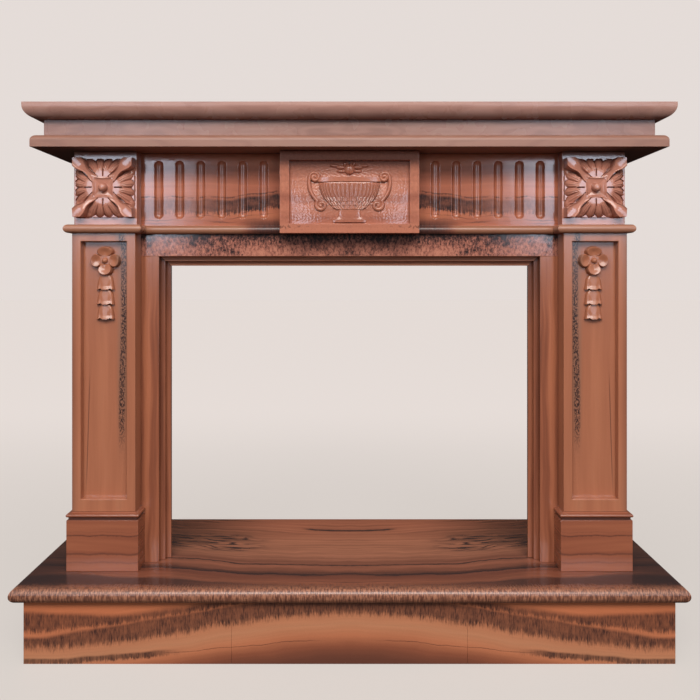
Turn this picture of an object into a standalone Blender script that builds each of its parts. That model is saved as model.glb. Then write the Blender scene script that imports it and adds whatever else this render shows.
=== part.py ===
"""Stone fireplace mantel on a raised hearth, in metres.

The wall is on the +Y side, the front faces -Y and z = 0 is the floor. The origin is at the
bottom centre of the whole. Every piece of stone is one closed solid.
"""
import math

import bmesh
import bpy
import numpy as np

# Joint left between two pieces, and the fall of a carved edge between two grid lines
GAP = 0.0003
EDGE_FALL = 0.0008

# Plan sizes, from the fire opening outwards
OPENING_WIDTH = 0.8814
JAMB_WIDTH = 0.0663
SHAFT_WIDTH = 0.150
PLINTH_MARGIN = 0.0095
HEARTH_SIDE_MARGIN = 0.1005
HEARTH_FRONT_MARGIN = 0.1294
MANTEL_DEPTH = 0.4206
RETURN_THICKNESS = 0.030

# Depths of the faces, measured from the shaft's face
PLINTH_STEP = 0.0124
BLOCK_SETBACK = 0.0156
FRIEZE_SETBACK = 0.0542
SLAB_THICKNESS = 0.0434
TABLET_PROJECTION = 0.0546

# Heights, from the floor up
RISER_HEIGHT = 0.142
HEARTH_THICKNESS = 0.034
PLINTH_HEIGHT = 0.120
PLINTH_CAP_HEIGHT = 0.0176
SHAFT_HEIGHT = 0.6594
ASTRAGAL_HEIGHT = 0.020
BLOCK_HEIGHT = 0.1757
BED_HEIGHT = 0.028
FASCIA_HEIGHT = 0.0376
SHELF_HEIGHT = 0.0346
ARCHITRAVE_HEIGHT = 0.076

# Riser under the hearth
RISER_SETBACK = 0.0255
RISER_THICKNESS = 0.030
RISER_CENTRE_LENGTH = 0.530

# Plinth cap: sunk neck, then a half-round nose that slopes back to the shaft
NECK_HEIGHT = 0.0065
NECK_DEPTH = 0.0038
CAP_NOSE_RADIUS = 0.0028
CAP_NOSE_PROUD = 0.0012

# Astragal under the capital and along the frieze
ASTRAGAL_FLAT = 0.0067

# Cornice
BED_OVERHANG = 0.0776
BED_ROUND = 0.013
FASCIA_SETBACK = 0.0245
SHELF_OVERHANG = 0.0381
SHELF_FILLET = 0.0066

# Stepped moulding round the opening
MOULD_STEP_WIDTH = 0.01125
MOULD_FIRST_DEPTH = 0.020
MOULD_SECOND_DEPTH = 0.034
COVE_RADIUS = 0.005

# Sunk panel of the shaft, with its flower and husks
PANEL_SIDE = 0.0205
PANEL_TOP = 0.0194
PANEL_BOTTOM = 0.0287
PANEL_DEPTH = 0.021
FLOWER_RADIUS = 0.0355
FLOWER_DROP = 0.0456
FLOWER_RELIEF = 0.019
HUSK_COUNT = 3
HUSK_HEIGHT = 0.0352
HUSK_WIDTH = 0.043
HUSK_RELIEF = 0.014

# Square leaf rosette of the capital
ROSETTE_MARGIN = 0.0045
ROSETTE_RELIEF = 0.037

# Flutes of the frieze
FLUTE_COUNT = 6
FLUTE_PITCH = 0.051
FLUTE_WIDTH = 0.021
FLUTE_LENGTH = 0.140
FLUTE_DEPTH = 0.008

# Tablet with its sunk field and urn
TABLET_WIDTH = 0.3308
TABLET_BORDER = 0.0222
FIELD_DEPTH = 0.015
URN_WIDTH = 0.156
URN_RELIEF = 0.015

# Triangles that each carved piece is thinned to
ROSETTE_FACES = 1850
TABLET_FACES = 2300
SHAFT_FACES = 850
FRIEZE_FACES = 620

# Places that follow from the sizes
OPENING_X = OPENING_WIDTH / 2
SHAFT_INNER = OPENING_X + JAMB_WIDTH
SHAFT_OUTER = SHAFT_INNER + SHAFT_WIDTH
PILASTER_X = (SHAFT_INNER + SHAFT_OUTER) / 2
TABLET_X = TABLET_WIDTH / 2
HEARTH_X = SHAFT_OUTER + HEARTH_SIDE_MARGIN
HEARTH_DEPTH = MANTEL_DEPTH + HEARTH_FRONT_MARGIN

WALL_Y = HEARTH_DEPTH / 2
HEARTH_Y = -HEARTH_DEPTH / 2
SHAFT_Y = WALL_Y - MANTEL_DEPTH
BLOCK_Y = SHAFT_Y + BLOCK_SETBACK
FRIEZE_Y = SHAFT_Y + FRIEZE_SETBACK
FACADE_BACK_Y = FRIEZE_Y + SLAB_THICKNESS

HEARTH_Z = RISER_HEIGHT
PLINTH_Z = HEARTH_Z + HEARTH_THICKNESS
CAP_Z = PLINTH_Z + PLINTH_HEIGHT
SHAFT_Z = CAP_Z + PLINTH_CAP_HEIGHT
FRIEZE_Z = SHAFT_Z + SHAFT_HEIGHT
BLOCK_Z = FRIEZE_Z + ASTRAGAL_HEIGHT
BED_Z = BLOCK_Z + BLOCK_HEIGHT
FASCIA_Z = BED_Z + BED_HEIGHT
SHELF_Z = FASCIA_Z + FASCIA_HEIGHT
OPENING_TOP_Z = FRIEZE_Z - ARCHITRAVE_HEIGHT

BED_X = SHAFT_OUTER + BED_OVERHANG
BED_Y = BLOCK_Y - BED_OVERHANG
FASCIA_X = BED_X - FASCIA_SETBACK
FASCIA_Y = BED_Y + FASCIA_SETBACK
SHELF_X = FASCIA_X + SHELF_OVERHANG
SHELF_Y = FASCIA_Y - SHELF_OVERHANG

# Colours (linear) and polish of the stone in the photograph
BANDED_RED = (0.250, 0.080, 0.045, 1.0)
WARM_ORANGE = (0.400, 0.140, 0.070, 1.0)
DARK_MOTTLED = (0.160, 0.060, 0.045, 1.0)
GREY_PINK = (0.300, 0.170, 0.130, 1.0)
POLISH = 0.2


class Corners:
    """Vertices of one solid kept by place, so that faces that meet share them."""

    def __init__(self, bm):
        self.bm = bm
        self.found = {}

    def at(self, x, y, z):
        key = (round(x, 6), round(y, 6), round(z, 6))
        if key not in self.found:
            self.found[key] = self.bm.verts.new((x, y, z))
        return self.found[key]

    def face(self, verts):
        """A face through the corners, leaving out repeats; nothing if it has no area."""
        loop = [v for i, v in enumerate(verts) if v is not verts[i - 1]]
        if len(loop) > 2:
            self.bm.faces.new(loop)


def stone(name, colour):
    """Polished stone of one mean colour."""
    material = bpy.data.materials.new(name)
    material.use_nodes = True
    shader = material.node_tree.nodes["Principled BSDF"]
    shader.inputs["Base Color"].default_value = colour
    shader.inputs["Roughness"].default_value = POLISH
    shader.inputs["Metallic"].default_value = 0.0
    material.diffuse_color = colour
    return material


def add_piece(name, bm, colour, place, parent, faces=None):
    """Turn a closed skin into a named object at its place; a carved one is thinned to faces."""
    bmesh.ops.recalc_face_normals(bm, faces=bm.faces)
    triangles = sum(len(face.verts) - 2 for face in bm.faces)
    mesh = bpy.data.meshes.new(name)
    bm.to_mesh(mesh)
    bm.free()
    mesh.shade_smooth()
    mesh.set_sharp_from_angle(angle=math.radians(32))
    piece = bpy.data.objects.new(name, mesh)
    piece.location = place
    piece.parent = parent
    bpy.context.scene.collection.objects.link(piece)
    piece.data.materials.append(stone(name + "_stone", colour))
    if faces and faces < triangles:
        thin = piece.modifiers.new("thin", "DECIMATE")
        thin.ratio = faces / triangles
        thin.use_collapse_triangulate = True
    return piece


def spaced(stops, steps):
    """Grid lines through every stop, with no cell wider than the step given for its stretch."""
    lines = [stops[0]]
    for start, end, step in zip(stops, stops[1:], steps):
        cells = max(1, math.ceil((end - start) / step - 1e-6))
        lines += [start + (end - start) * i / cells for i in range(1, cells + 1)]
    return lines


def carved_grid(corners, xs, zs, face_y, height, side):
    """Vertices of a carved front: each stands height(x, z) proud of the flat face."""
    grid_x, grid_z = np.meshgrid(np.array(xs), np.array(zs), indexing="ij")
    proud = height(grid_x, grid_z)
    return [
        [corners.at(side * x, face_y - float(proud[i, j]), z) for j, z in enumerate(zs)]
        for i, x in enumerate(xs)
    ]


def stack(bm, rings, side=1, carved=None, flat_edge=None):
    """Closed solid through plan outlines, bottom to top.

    A ring is (outline, z). Each outline has the same corners in the same order: the first is the
    back corner, the edge from the second to the third is the front, and the last edge is the flat
    back. flat_edge is the index of another edge that is one upright face at every height.
    carved is (index of the lower ring, x lines, z lines, height) of a carved front.
    """
    corners = Corners(bm)
    rows = [[corners.at(side * x, y, z) for x, y in outline] for outline, z in rings]
    grid = None
    level = None
    if carved:
        level, xs, zs, height = carved
        face_y = rings[level][0][1][1]
        grid = carved_grid(corners, xs, zs, face_y, height, side)
        rows[level][1:3] = [grid[0][0], grid[-1][0]]
        rows[level + 1][1:3] = [grid[0][-1], grid[-1][-1]]

    def along(i, j):
        if grid and j == 1 and i == level:
            return [column[0] for column in grid]
        if grid and j == 1 and i == level + 1:
            return [column[-1] for column in grid]
        return [rows[i][j], rows[i][j + 1]]

    def climb(i, j):
        if grid and i == level and j in (1, 2):
            return grid[0 if j == 1 else -1][1:-1]
        return []

    count = len(rows[0])
    for i in range(len(rows) - 1):
        for j in range(count - 1):
            if j == flat_edge or (grid and i == level and j == 1):
                continue
            corners.face(along(i, j) + climb(i, j + 1) + along(i + 1, j)[::-1] + climb(i, j)[::-1])
    if grid:
        for left, right in zip(grid, grid[1:]):
            for k in range(len(left) - 1):
                bm.faces.new([left[k], right[k], right[k + 1], left[k + 1]])
    for i in (0, len(rows) - 1):
        corners.face([v for j in range(count - 1) for v in along(i, j)])
    corners.face([row[0] for row in rows] + [row[-1] for row in reversed(rows)])
    if flat_edge:
        start = [row[flat_edge] for row in rows]
        end = [row[flat_edge + 1] for row in reversed(rows)]
        corners.face(start + end)


def outline(x0, x1, front, back, out_side=0.0, out_front=0.0):
    """Rectangle in plan, let out at the two sides and at the front."""
    return [
        (x0 - out_side, back),
        (x0 - out_side, front - out_front),
        (x1 + out_side, front - out_front),
        (x1 + out_side, back),
    ]


def block(name, x0, x1, front, back, z0, z1, colour, parent):
    """Plain squared block, with its own origin at the middle of its underside."""
    centre = ((x0 + x1) / 2, (front + back) / 2, z0)
    half = (x1 - x0) / 2
    deep = (back - front) / 2
    shape = outline(-half, half, -deep, deep)
    bm = bmesh.new()
    stack(bm, [(shape, 0.0), (shape, z1 - z0)])
    return add_piece(name, bm, colour, centre, parent)


def course(name, half, front, z0, profile, colour, parent):
    """Moulded course that runs round the front and both ends, flat against the wall."""
    rings = [(outline(-half, half, front, WALL_Y, out, out), z) for out, z in profile]
    bm = bmesh.new()
    stack(bm, rings)
    return add_piece(name, bm, colour, (0.0, 0.0, z0), parent)


def arc(radius, start, end, cells):
    """Points of an arc about its centre, angles in degrees from the outward direction."""
    angles = [math.radians(start + (end - start) * i / cells) for i in range(cells + 1)]
    return [(radius * math.cos(a), radius * math.sin(a)) for a in angles]


def smooth_step(low, high, value):
    """0 below low, 1 above high, an S curve between."""
    t = np.clip((value - low) / (high - low), 0.0, 1.0)
    return t * t * (3.0 - 2.0 * t)


def domed(distance, power=6):
    """Rounded edge: 1 at the middle, falling steeply to 0 where distance reaches 1."""
    return np.sqrt(np.clip(1.0 - np.clip(distance, 0.0, 1.0) ** power, 0.0, 1.0))


def ball(distance):
    """Half a ball: 1 at the middle, 0 from distance 1 outwards."""
    return np.sqrt(np.clip(1.0 - distance ** 2, 0.0, 1.0))


def rosette_height(radius):
    """Square rosette: four corner leaves, side palmettes of four lobes, a dished centre, a boss."""

    def height(x, z):
        a = np.abs(x) / radius
        b = np.abs(z - BLOCK_HEIGHT / 2) / radius
        far = np.maximum(a, b)
        near = np.minimum(a, b)

        along = (a + b) / math.sqrt(2.0)
        across = np.abs(a - b) / math.sqrt(2.0)
        width = 0.098 + 0.05 * smooth_step(0.72, 0.42, along) + 0.105 * smooth_step(0.78, 1.14, along)
        width = width * ball(np.clip(along - 1.21, 0.0, 1.0) / 0.215)
        share = across / np.maximum(width, 1e-4)
        rim = 0.11 * np.clip(share, 0.0, 1.0) ** 2
        leaf = 0.62 + 0.20 * smooth_step(0.45, 1.08, along)
        leaf = np.where((share < 1.0) & (along > 0.40), (leaf + rim) * domed(share), 0.0)

        lobe_angle = math.radians(22.5)
        apex = 0.20
        angle = np.arctan2(near, np.maximum(far - apex, 1e-6))
        reach = np.hypot(far - apex, near)
        ridge = np.abs(np.sin(math.pi * angle / lobe_angle))
        end = (1.0 - apex) / np.cos(angle) * (1.0 - 0.13 * (1.0 - ridge ** 0.8))
        groove = 0.16 * (1.0 - ridge ** 0.6) * smooth_step(0.36, 0.56, reach)
        slit = 0.24 * ((near < 0.022) & (far > 0.39) & (far < 0.64))
        lobe = 0.62 - 0.30 * np.clip((reach - 0.42) / 0.40, 0.0, 1.0) ** 1.6
        lobe = (lobe - groove - slit) * domed(reach / end)
        inner = (far > 0.365) & (reach < end) & (angle < 2.0 * lobe_angle)
        floor = 0.25 * ((far > 0.365) & (along < 1.0))
        palmette = np.where(inner, lobe, floor)

        centre = np.where(far <= 0.365, 0.46 + 0.21 * (far / 0.365) ** 2, 0.0)
        spread = np.hypot(a, b) / 0.15
        boss = np.where(spread < 1.0, 0.62 + 0.35 * ball(spread), 0.0)
        shape = np.maximum.reduce([leaf, palmette, centre, boss])
        return np.where(far < 0.999, ROSETTE_RELIEF * shape, 0.0)

    return height


def flower_height(x, z):
    """Four petals that rise from the middle to their rims; lengths are shares of the radius."""
    u = x / FLOWER_RADIUS
    w = z / FLOWER_RADIUS
    out = np.hypot(u, w)
    petals = [
        (0.0, 0.61, 0.56, 0.37, 0.86),
        (-0.61, 0.0, 0.38, 0.47, 0.84),
        (0.61, 0.0, 0.38, 0.47, 0.84),
        (0.0, -0.60, 0.48, 0.41, 0.98),
    ]
    shape = 0.42 * domed(out / 0.62, 8)
    for centre_u, centre_w, half_u, half_w, top in petals:
        share = np.hypot((u - centre_u) / half_u, (w - centre_w) / half_w)
        cup = top - 0.34 * smooth_step(0.95, 0.20, out)
        shape = np.maximum(shape, np.where(share < 1.0, cup * domed(share, 8), 0.0))
    boss = out / 0.15
    return FLOWER_RELIEF * np.maximum(shape, np.where(boss < 1.0, 0.50 + 0.35 * ball(boss), 0.0))


def husk_height(x, z):
    """One bell-shaped husk hanging below z = 0, with three lobes along its lower edge."""
    down = -z / HUSK_HEIGHT
    half = HUSK_WIDTH / 2 * (0.58 + 0.42 * np.clip(down, 0.0, 1.0) ** 0.9)
    share = np.abs(x) / half
    notch = np.exp(-((share - 0.42) / 0.16) ** 2)
    inside = (share < 1.0) & (down > 0.0) & (down < 1.0 - 0.08 * notch)
    body = (0.52 + 0.46 * np.clip(down, 0.0, 1.0)) * domed(share) - 0.11 * notch
    return np.where(inside, HUSK_RELIEF * body, 0.0)


def shaft_height(x, z):
    """Face of the shaft: a sunk panel with a flower and a drop of husks on its floor."""
    half = SHAFT_WIDTH / 2 - PANEL_SIDE
    top = SHAFT_HEIGHT - PANEL_TOP
    flower_z = top - FLOWER_DROP
    sunk = (np.abs(x) < half - 1e-6) & (z > PANEL_BOTTOM + 1e-6) & (z < top - 1e-6)
    carving = flower_height(x, z - flower_z)
    husk_z = flower_z - FLOWER_RADIUS * 0.98
    for i in range(HUSK_COUNT):
        carving = np.maximum(carving, husk_height(x, z - husk_z + i * HUSK_HEIGHT))
    return np.where(sunk, carving - PANEL_DEPTH, 0.0)


def panel_length():
    """Length of a frieze panel, between the capital and the tablet."""
    return SHAFT_INNER - TABLET_X - 2 * GAP


def astragal_height(z):
    """Half-round bead that stands on a narrow flat, from z = 0 to the astragal's height."""
    radius = ASTRAGAL_HEIGHT / 2
    lift = np.clip(1.0 - ((z - radius) / radius) ** 2, 0.0, 1.0)
    return np.where(z <= ASTRAGAL_HEIGHT + 1e-6, ASTRAGAL_FLAT + radius * np.sqrt(lift), 0.0)


def frieze_height(x, z):
    """Face of a frieze panel: flutes with round ends, and the bead mitred at the capital."""
    middle = panel_length() / 2
    radius = FLUTE_WIDTH / 2
    centre_z = ASTRAGAL_HEIGHT + BLOCK_HEIGHT / 2
    straight = FLUTE_LENGTH / 2 - radius
    end = np.maximum(np.abs(z - centre_z) - straight, 0.0)
    cut = np.zeros_like(x)
    for centre_x in flute_places():
        away = np.hypot(x - middle - centre_x, end) / radius
        cut = np.maximum(cut, ball(away))
    bead = np.minimum(astragal_height(z), panel_length() - x)
    return np.where(z < ASTRAGAL_HEIGHT - 1e-6, bead, -FLUTE_DEPTH * cut)


def flute_places():
    """Centres of the flutes, measured from the middle of the panel."""
    return [(i - (FLUTE_COUNT - 1) / 2) * FLUTE_PITCH for i in range(FLUTE_COUNT)]


def bezier(points, cells):
    """Points along a cubic curve through its four control points."""
    t = np.linspace(0.0, 1.0, cells + 1)[:, None]
    p = np.array(points)
    return (1 - t) ** 3 * p[0] + 3 * t * (1 - t) ** 2 * p[1] + 3 * t ** 2 * (1 - t) * p[2] + t ** 3 * p[3]


def spiral(centre, start_radius, end_radius, start_angle, end_angle, cells):
    """Points of a spiral from one radius and angle (degrees) to another."""
    angle = np.radians(np.linspace(start_angle, end_angle, cells + 1))
    radius = np.linspace(start_radius, end_radius, cells + 1)
    return np.stack([centre[0] + radius * np.cos(angle), centre[1] + radius * np.sin(angle)], axis=1)


def handle_path():
    """Centre line of one scrolled handle, in units of half the rim's width."""
    upper = spiral((1.06, 1.41), 0.03, 0.16, 500.0, 0.0, 20)
    stem = bezier([(1.22, 1.41), (1.27, 1.15), (1.18, 0.86), (0.98, 0.68)], 8)
    lower = spiral((0.86, 0.56), 0.17, 0.03, 45.0, -420.0, 18)
    return np.concatenate([upper, stem[1:], lower[1:]])


def distance_to_path(u, w, path):
    """Shortest distance of each point to a polyline."""
    best = np.full(u.shape, 1e9)
    for (x0, z0), (x1, z1) in zip(path[:-1], path[1:]):
        dx = x1 - x0
        dz = z1 - z0
        t = np.clip(((u - x0) * dx + (w - z0) * dz) / (dx * dx + dz * dz), 0.0, 1.0)
        best = np.minimum(best, np.hypot(u - x0 - t * dx, w - z0 - t * dz))
    return best


def urn_height(x, z):
    """Urn in half relief, as a share of its relief; lengths are in units of half the rim's width."""
    unit = URN_WIDTH / 2
    u = np.abs(x) / unit
    w = z / unit

    drop = np.clip((1.24 - w) / 0.855, 0.0, 1.0)
    bowl_half = 0.37 + 0.55 * (1.0 - drop ** 2.2)
    half = np.select(
        [w < 0.0, w < 0.07, w < 0.20, w < 0.385, w < 1.24, w < 1.275, w < 1.423],
        [0.001, 0.58, 0.39 + 9.0 * (0.20 - w) ** 2, 0.37, bowl_half, 0.90, 1.0],
        0.001,
    )
    share = u / half
    turn = np.arcsin(np.clip(share, 0.0, 1.0))
    upper = (w > 0.80) & (w < 1.22)
    ribs = 0.13 * np.abs(np.sin(8.0 * turn)) * upper
    rise = 0.45 + 0.35 * np.clip(half, 0.0, 1.0)
    body = np.where(share < 1.0, rise * ball(share) + ribs + 0.10, 0.0)

    handle = distance_to_path(u, w, handle_path()) / 0.062
    scroll = np.where(handle < 1.0, 0.22 + 0.48 * ball(handle), 0.0)

    bud = np.hypot(u, w - 1.66) / 0.16
    finial = np.where(bud < 1.0, 0.20 + 0.42 * ball(bud), 0.0)
    for centre_u, centre_w, half_u, half_w in [(0.27, 1.72, 0.15, 0.07), (0.46, 1.77, 0.14, 0.06)]:
        share = np.hypot((u - centre_u) / half_u, (w - centre_w) / half_w)
        finial = np.maximum(finial, np.where(share < 1.0, 0.35 * domed(share), 0.0))
    return np.maximum.reduce([body, scroll, finial])


def tablet_height(x, z):
    """Face of the tablet: a sunk field that swells towards its foot, with the urn on it."""
    total = ASTRAGAL_HEIGHT + BLOCK_HEIGHT - GAP
    half = TABLET_WIDTH / 2 - TABLET_BORDER
    low = TABLET_BORDER
    high = total - TABLET_BORDER
    inside = (np.abs(x) < half - 1e-6) & (z > low + 1e-6) & (z < high - 1e-6)
    across = np.clip(np.abs(x) / half, 0.0, 1.0)
    up = np.clip((z - low) / (high - low), 0.0, 1.0)
    swell = (1.0 - across ** 3) * (1.0 - smooth_step(0.0, 0.9, up))
    floor = -FIELD_DEPTH * (1.0 - 0.55 * swell)
    urn = URN_RELIEF * urn_height(x, z - low - EDGE_FALL)
    return np.where(inside, np.minimum(floor + urn, 0.0), 0.0)


def add_riser(parent):
    """Three front panels and two side panels that carry the hearth slab."""
    half = HEARTH_X - RISER_SETBACK
    joint = RISER_CENTRE_LENGTH / 2
    front = HEARTH_Y + RISER_SETBACK
    back = front + RISER_THICKNESS
    top = HEARTH_Z - GAP
    spans = {
        "riser_front_left": (-half, -joint - GAP / 2),
        "riser_front_centre": (-joint + GAP / 2, joint - GAP / 2),
        "riser_front_right": (joint + GAP / 2, half),
    }
    for name, (x0, x1) in spans.items():
        block(name, x0, x1, front, back, 0.0, top, BANDED_RED, parent)
    inner = half - RISER_THICKNESS
    block("riser_side_left", -half, -inner, back + GAP, WALL_Y, 0.0, top, BANDED_RED, parent)
    block("riser_side_right", inner, half, back + GAP, WALL_Y, 0.0, top, BANDED_RED, parent)


def add_hearth(parent):
    """Hearth slab with a full half-round nose on its front and ends."""
    radius = (HEARTH_THICKNESS - GAP) / 2
    profile = [(out - radius, radius + up) for out, up in arc(radius, -90, 90, 10)]
    course("hearth_slab", HEARTH_X, HEARTH_Y, HEARTH_Z, profile, BANDED_RED, parent)


def pilaster_outline(half, front, step_y):
    """Pilaster in plan, outer side at +X; behind step_y its inner side is that of the shaft."""
    inner = -SHAFT_WIDTH / 2
    return [
        (half, FACADE_BACK_Y),
        (half, front),
        (-half, front),
        (-half, step_y),
        (inner, step_y),
        (inner, FACADE_BACK_Y),
    ]


def add_plinth(name, side, parent):
    """Plinth block and the moulded cap that takes it in to the shaft, both notched for the jamb."""
    half = SHAFT_WIDTH / 2 + PLINTH_MARGIN
    front = SHAFT_Y - PLINTH_STEP
    step_y = FRIEZE_Y - GAP
    x = side * PILASTER_X
    shape = pilaster_outline(half, front, step_y)
    bm = bmesh.new()
    stack(bm, [(shape, 0.0), (shape, PLINTH_HEIGHT - GAP)], side)
    add_piece("plinth_" + name, bm, WARM_ORANGE, (x, 0.0, PLINTH_Z), parent)

    nose = arc(CAP_NOSE_RADIUS, -90, 40, 6)
    start = CAP_NOSE_PROUD - CAP_NOSE_RADIUS
    profile = [(-NECK_DEPTH, -NECK_DEPTH, 0.0), (-NECK_DEPTH, -NECK_DEPTH, NECK_HEIGHT)]
    profile += [(start + o, start + o, NECK_HEIGHT + CAP_NOSE_RADIUS + up) for o, up in nose]
    profile.append((-PLINTH_MARGIN, -PLINTH_STEP, PLINTH_CAP_HEIGHT - GAP))
    rings = [(pilaster_outline(half + s, front - f, step_y), z) for s, f, z in profile]
    bm = bmesh.new()
    stack(bm, rings, side, None, 3)
    add_piece("plinth_cap_" + name, bm, WARM_ORANGE, (x, 0.0, CAP_Z), parent)


def add_shaft(name, side, parent):
    """Pilaster shaft with its carved sunk panel."""
    half = SHAFT_WIDTH / 2
    panel = half - PANEL_SIDE
    low = PANEL_BOTTOM
    high = SHAFT_HEIGHT - PANEL_TOP
    flower_z = high - FLOWER_DROP
    carve_top = flower_z + FLOWER_RADIUS
    carve_low = flower_z - FLOWER_RADIUS - HUSK_COUNT * HUSK_HEIGHT
    total = SHAFT_HEIGHT - GAP
    edge = EDGE_FALL
    wide = SHAFT_HEIGHT
    fine = 0.0022
    x_stops = [-half, -panel, -panel + edge, -FLOWER_RADIUS, FLOWER_RADIUS, panel - edge, panel, half]
    z_stops = [0.0, low, low + edge, carve_low, carve_top, high - edge, high, total]
    steps = [wide, edge, wide, fine, wide, edge, wide]
    carved = (0, spaced(x_stops, steps), spaced(z_stops, steps), shaft_height)
    shape = outline(-half, half, SHAFT_Y, FACADE_BACK_Y)
    bm = bmesh.new()
    stack(bm, [(shape, 0.0), (shape, total)], 1, carved)
    place = (side * PILASTER_X, 0.0, SHAFT_Z)
    add_piece("shaft_" + name, bm, WARM_ORANGE, place, parent, SHAFT_FACES)


def add_capital(name, side, parent):
    """Astragal, block and rosette in one; the astragal's inner return is mitred at the frieze."""
    half = SHAFT_WIDTH / 2
    radius = ASTRAGAL_HEIGHT / 2

    def ring(out, front):
        shape = pilaster_outline(half + out, front, FRIEZE_Y)
        shape[3] = (-half - out, FRIEZE_Y - out)
        return shape

    rings = []
    for out, up in arc(radius, -90, 90, 8):
        rings.append((ring(ASTRAGAL_FLAT + out, SHAFT_Y - ASTRAGAL_FLAT - out), radius + up))
    rings.append((ring(0.0, BLOCK_Y), ASTRAGAL_HEIGHT))
    rings.append((ring(0.0, BLOCK_Y), ASTRAGAL_HEIGHT + BLOCK_HEIGHT - GAP))

    size = min(SHAFT_WIDTH, BLOCK_HEIGHT) / 2 - ROSETTE_MARGIN
    middle = ASTRAGAL_HEIGHT + BLOCK_HEIGHT / 2
    top = ASTRAGAL_HEIGHT + BLOCK_HEIGHT - GAP
    fine = size / 38
    x_lines = [half] + list(np.linspace(size, -size, math.ceil(2 * size / fine) + 1)) + [-half]
    z_lines = spaced([ASTRAGAL_HEIGHT, middle - size, middle + size, top], [1.0, fine, 1.0])
    face = rosette_height(size)

    def height(x, z):
        return face(x, z - ASTRAGAL_HEIGHT)

    bm = bmesh.new()
    stack(bm, rings, side, (len(rings) - 2, x_lines, z_lines, height))
    place = (side * PILASTER_X, 0.0, FRIEZE_Z)
    add_piece("capital_" + name, bm, WARM_ORANGE, place, parent, ROSETTE_FACES)


def add_frieze(name, side, parent):
    """Fluted panel between capital and tablet, with the bead along its foot in the same stone."""
    length = panel_length()
    total = ASTRAGAL_HEIGHT + BLOCK_HEIGHT - GAP
    radius = FLUTE_WIDTH / 2
    mitre = ASTRAGAL_FLAT + ASTRAGAL_HEIGHT / 2
    centre_z = ASTRAGAL_HEIGHT + BLOCK_HEIGHT / 2
    fine = radius / 6
    x_stops = [0.0]
    x_steps = []
    for centre_x in flute_places():
        x_stops += [length / 2 + centre_x - radius, length / 2 + centre_x + radius]
        x_steps += [length, fine]
    x_stops += [length - mitre, length]
    x_steps += [length, fine]
    z_stops = [
        0.0,
        ASTRAGAL_HEIGHT - GAP,
        ASTRAGAL_HEIGHT,
        centre_z - FLUTE_LENGTH / 2,
        centre_z - FLUTE_LENGTH / 2 + radius,
        centre_z + FLUTE_LENGTH / 2 - radius,
        centre_z + FLUTE_LENGTH / 2,
        total,
    ]
    z_steps = [fine, GAP, total, fine, total, fine, total]
    carved = (0, spaced(x_stops, x_steps), spaced(z_stops, z_steps), frieze_height)
    shape = outline(0.0, length, FRIEZE_Y, FACADE_BACK_Y)
    bm = bmesh.new()
    stack(bm, [(shape, 0.0), (shape, total)], side, carved)
    place = (side * (TABLET_X + GAP), 0.0, FRIEZE_Z)
    add_piece("frieze_" + name, bm, WARM_ORANGE, place, parent, FRIEZE_FACES)


def add_tablet(parent):
    """Centre tablet, proud of the frieze, with the urn in its sunk field."""
    half = TABLET_WIDTH / 2
    field = half - TABLET_BORDER
    total = ASTRAGAL_HEIGHT + BLOCK_HEIGHT - GAP
    edge = EDGE_FALL
    fine = 0.0026
    steps = [1.0, edge, fine, edge, 1.0]
    x_stops = [-half, -field, -field + edge, field - edge, field, half]
    low = TABLET_BORDER
    high = total - TABLET_BORDER
    z_stops = [0.0, low, low + edge, high - edge, high, total]
    carved = (0, spaced(x_stops, steps), spaced(z_stops, steps), tablet_height)
    shape = outline(-half, half, FRIEZE_Y - TABLET_PROJECTION, FACADE_BACK_Y)
    bm = bmesh.new()
    stack(bm, [(shape, 0.0), (shape, total)], 1, carved)
    add_piece("tablet", bm, WARM_ORANGE, (0.0, 0.0, FRIEZE_Z), parent, TABLET_FACES)


def moulding_points():
    """(offset from the opening, depth behind the flat) of the two coved steps, opening first."""
    points = [(0.0, MOULD_SECOND_DEPTH)]
    for step, depth in ((1, MOULD_SECOND_DEPTH), (2, MOULD_FIRST_DEPTH)):
        centre = (step * MOULD_STEP_WIDTH - COVE_RADIUS, depth - COVE_RADIUS)
        points += [(centre[0] + o, centre[1] + d) for o, d in arc(COVE_RADIUS, 90, 0, 4)]
        if step == 1:
            points.append((MOULD_STEP_WIDTH, MOULD_FIRST_DEPTH))
    points.append((2 * MOULD_STEP_WIDTH, 0.0))
    return points


def add_architrave(parent):
    """Header of the opening: its moulding is mitred to the jambs', its flat rests on their tops."""
    mould = moulding_points()
    step = 2 * MOULD_STEP_WIDTH
    reach = SHAFT_INNER - GAP
    top = ARCHITRAVE_HEIGHT - GAP
    bm = bmesh.new()
    corners = Corners(bm)
    mitres = []
    squares = []
    for side in (-1, 1):
        inner = mould + [(step, SLAB_THICKNESS), (0.0, SLAB_THICKNESS)]
        mitre = [corners.at(side * (OPENING_X + o), FRIEZE_Y + d, o) for o, d in inner]
        outer = [(0.0, step), (0.0, top), (SLAB_THICKNESS, top), (SLAB_THICKNESS, step)]
        square = [corners.at(side * reach, FRIEZE_Y + d, z) for d, z in outer]
        corners.face(mitre)
        corners.face(square)
        corners.face([mitre[-3], square[0], square[3], mitre[-2]])
        mitres.append(mitre)
        squares.append(square)
    left, right = mitres
    west, east = squares
    for i in range(len(mould) - 1):
        corners.face([left[i], left[i + 1], right[i + 1], right[i]])
    corners.face([left[-1], left[0], right[0], right[-1]])
    corners.face([west[1], east[1], east[2], west[2]])
    corners.face([left[-3], *west[:2], *east[1::-1], right[-3]])
    corners.face([left[-1], left[-2], *west[:1:-1], *east[2:], right[-2], right[-1]])
    add_piece("architrave", bm, DARK_MOTTLED, (0.0, 0.0, OPENING_TOP_Z), parent)


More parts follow.
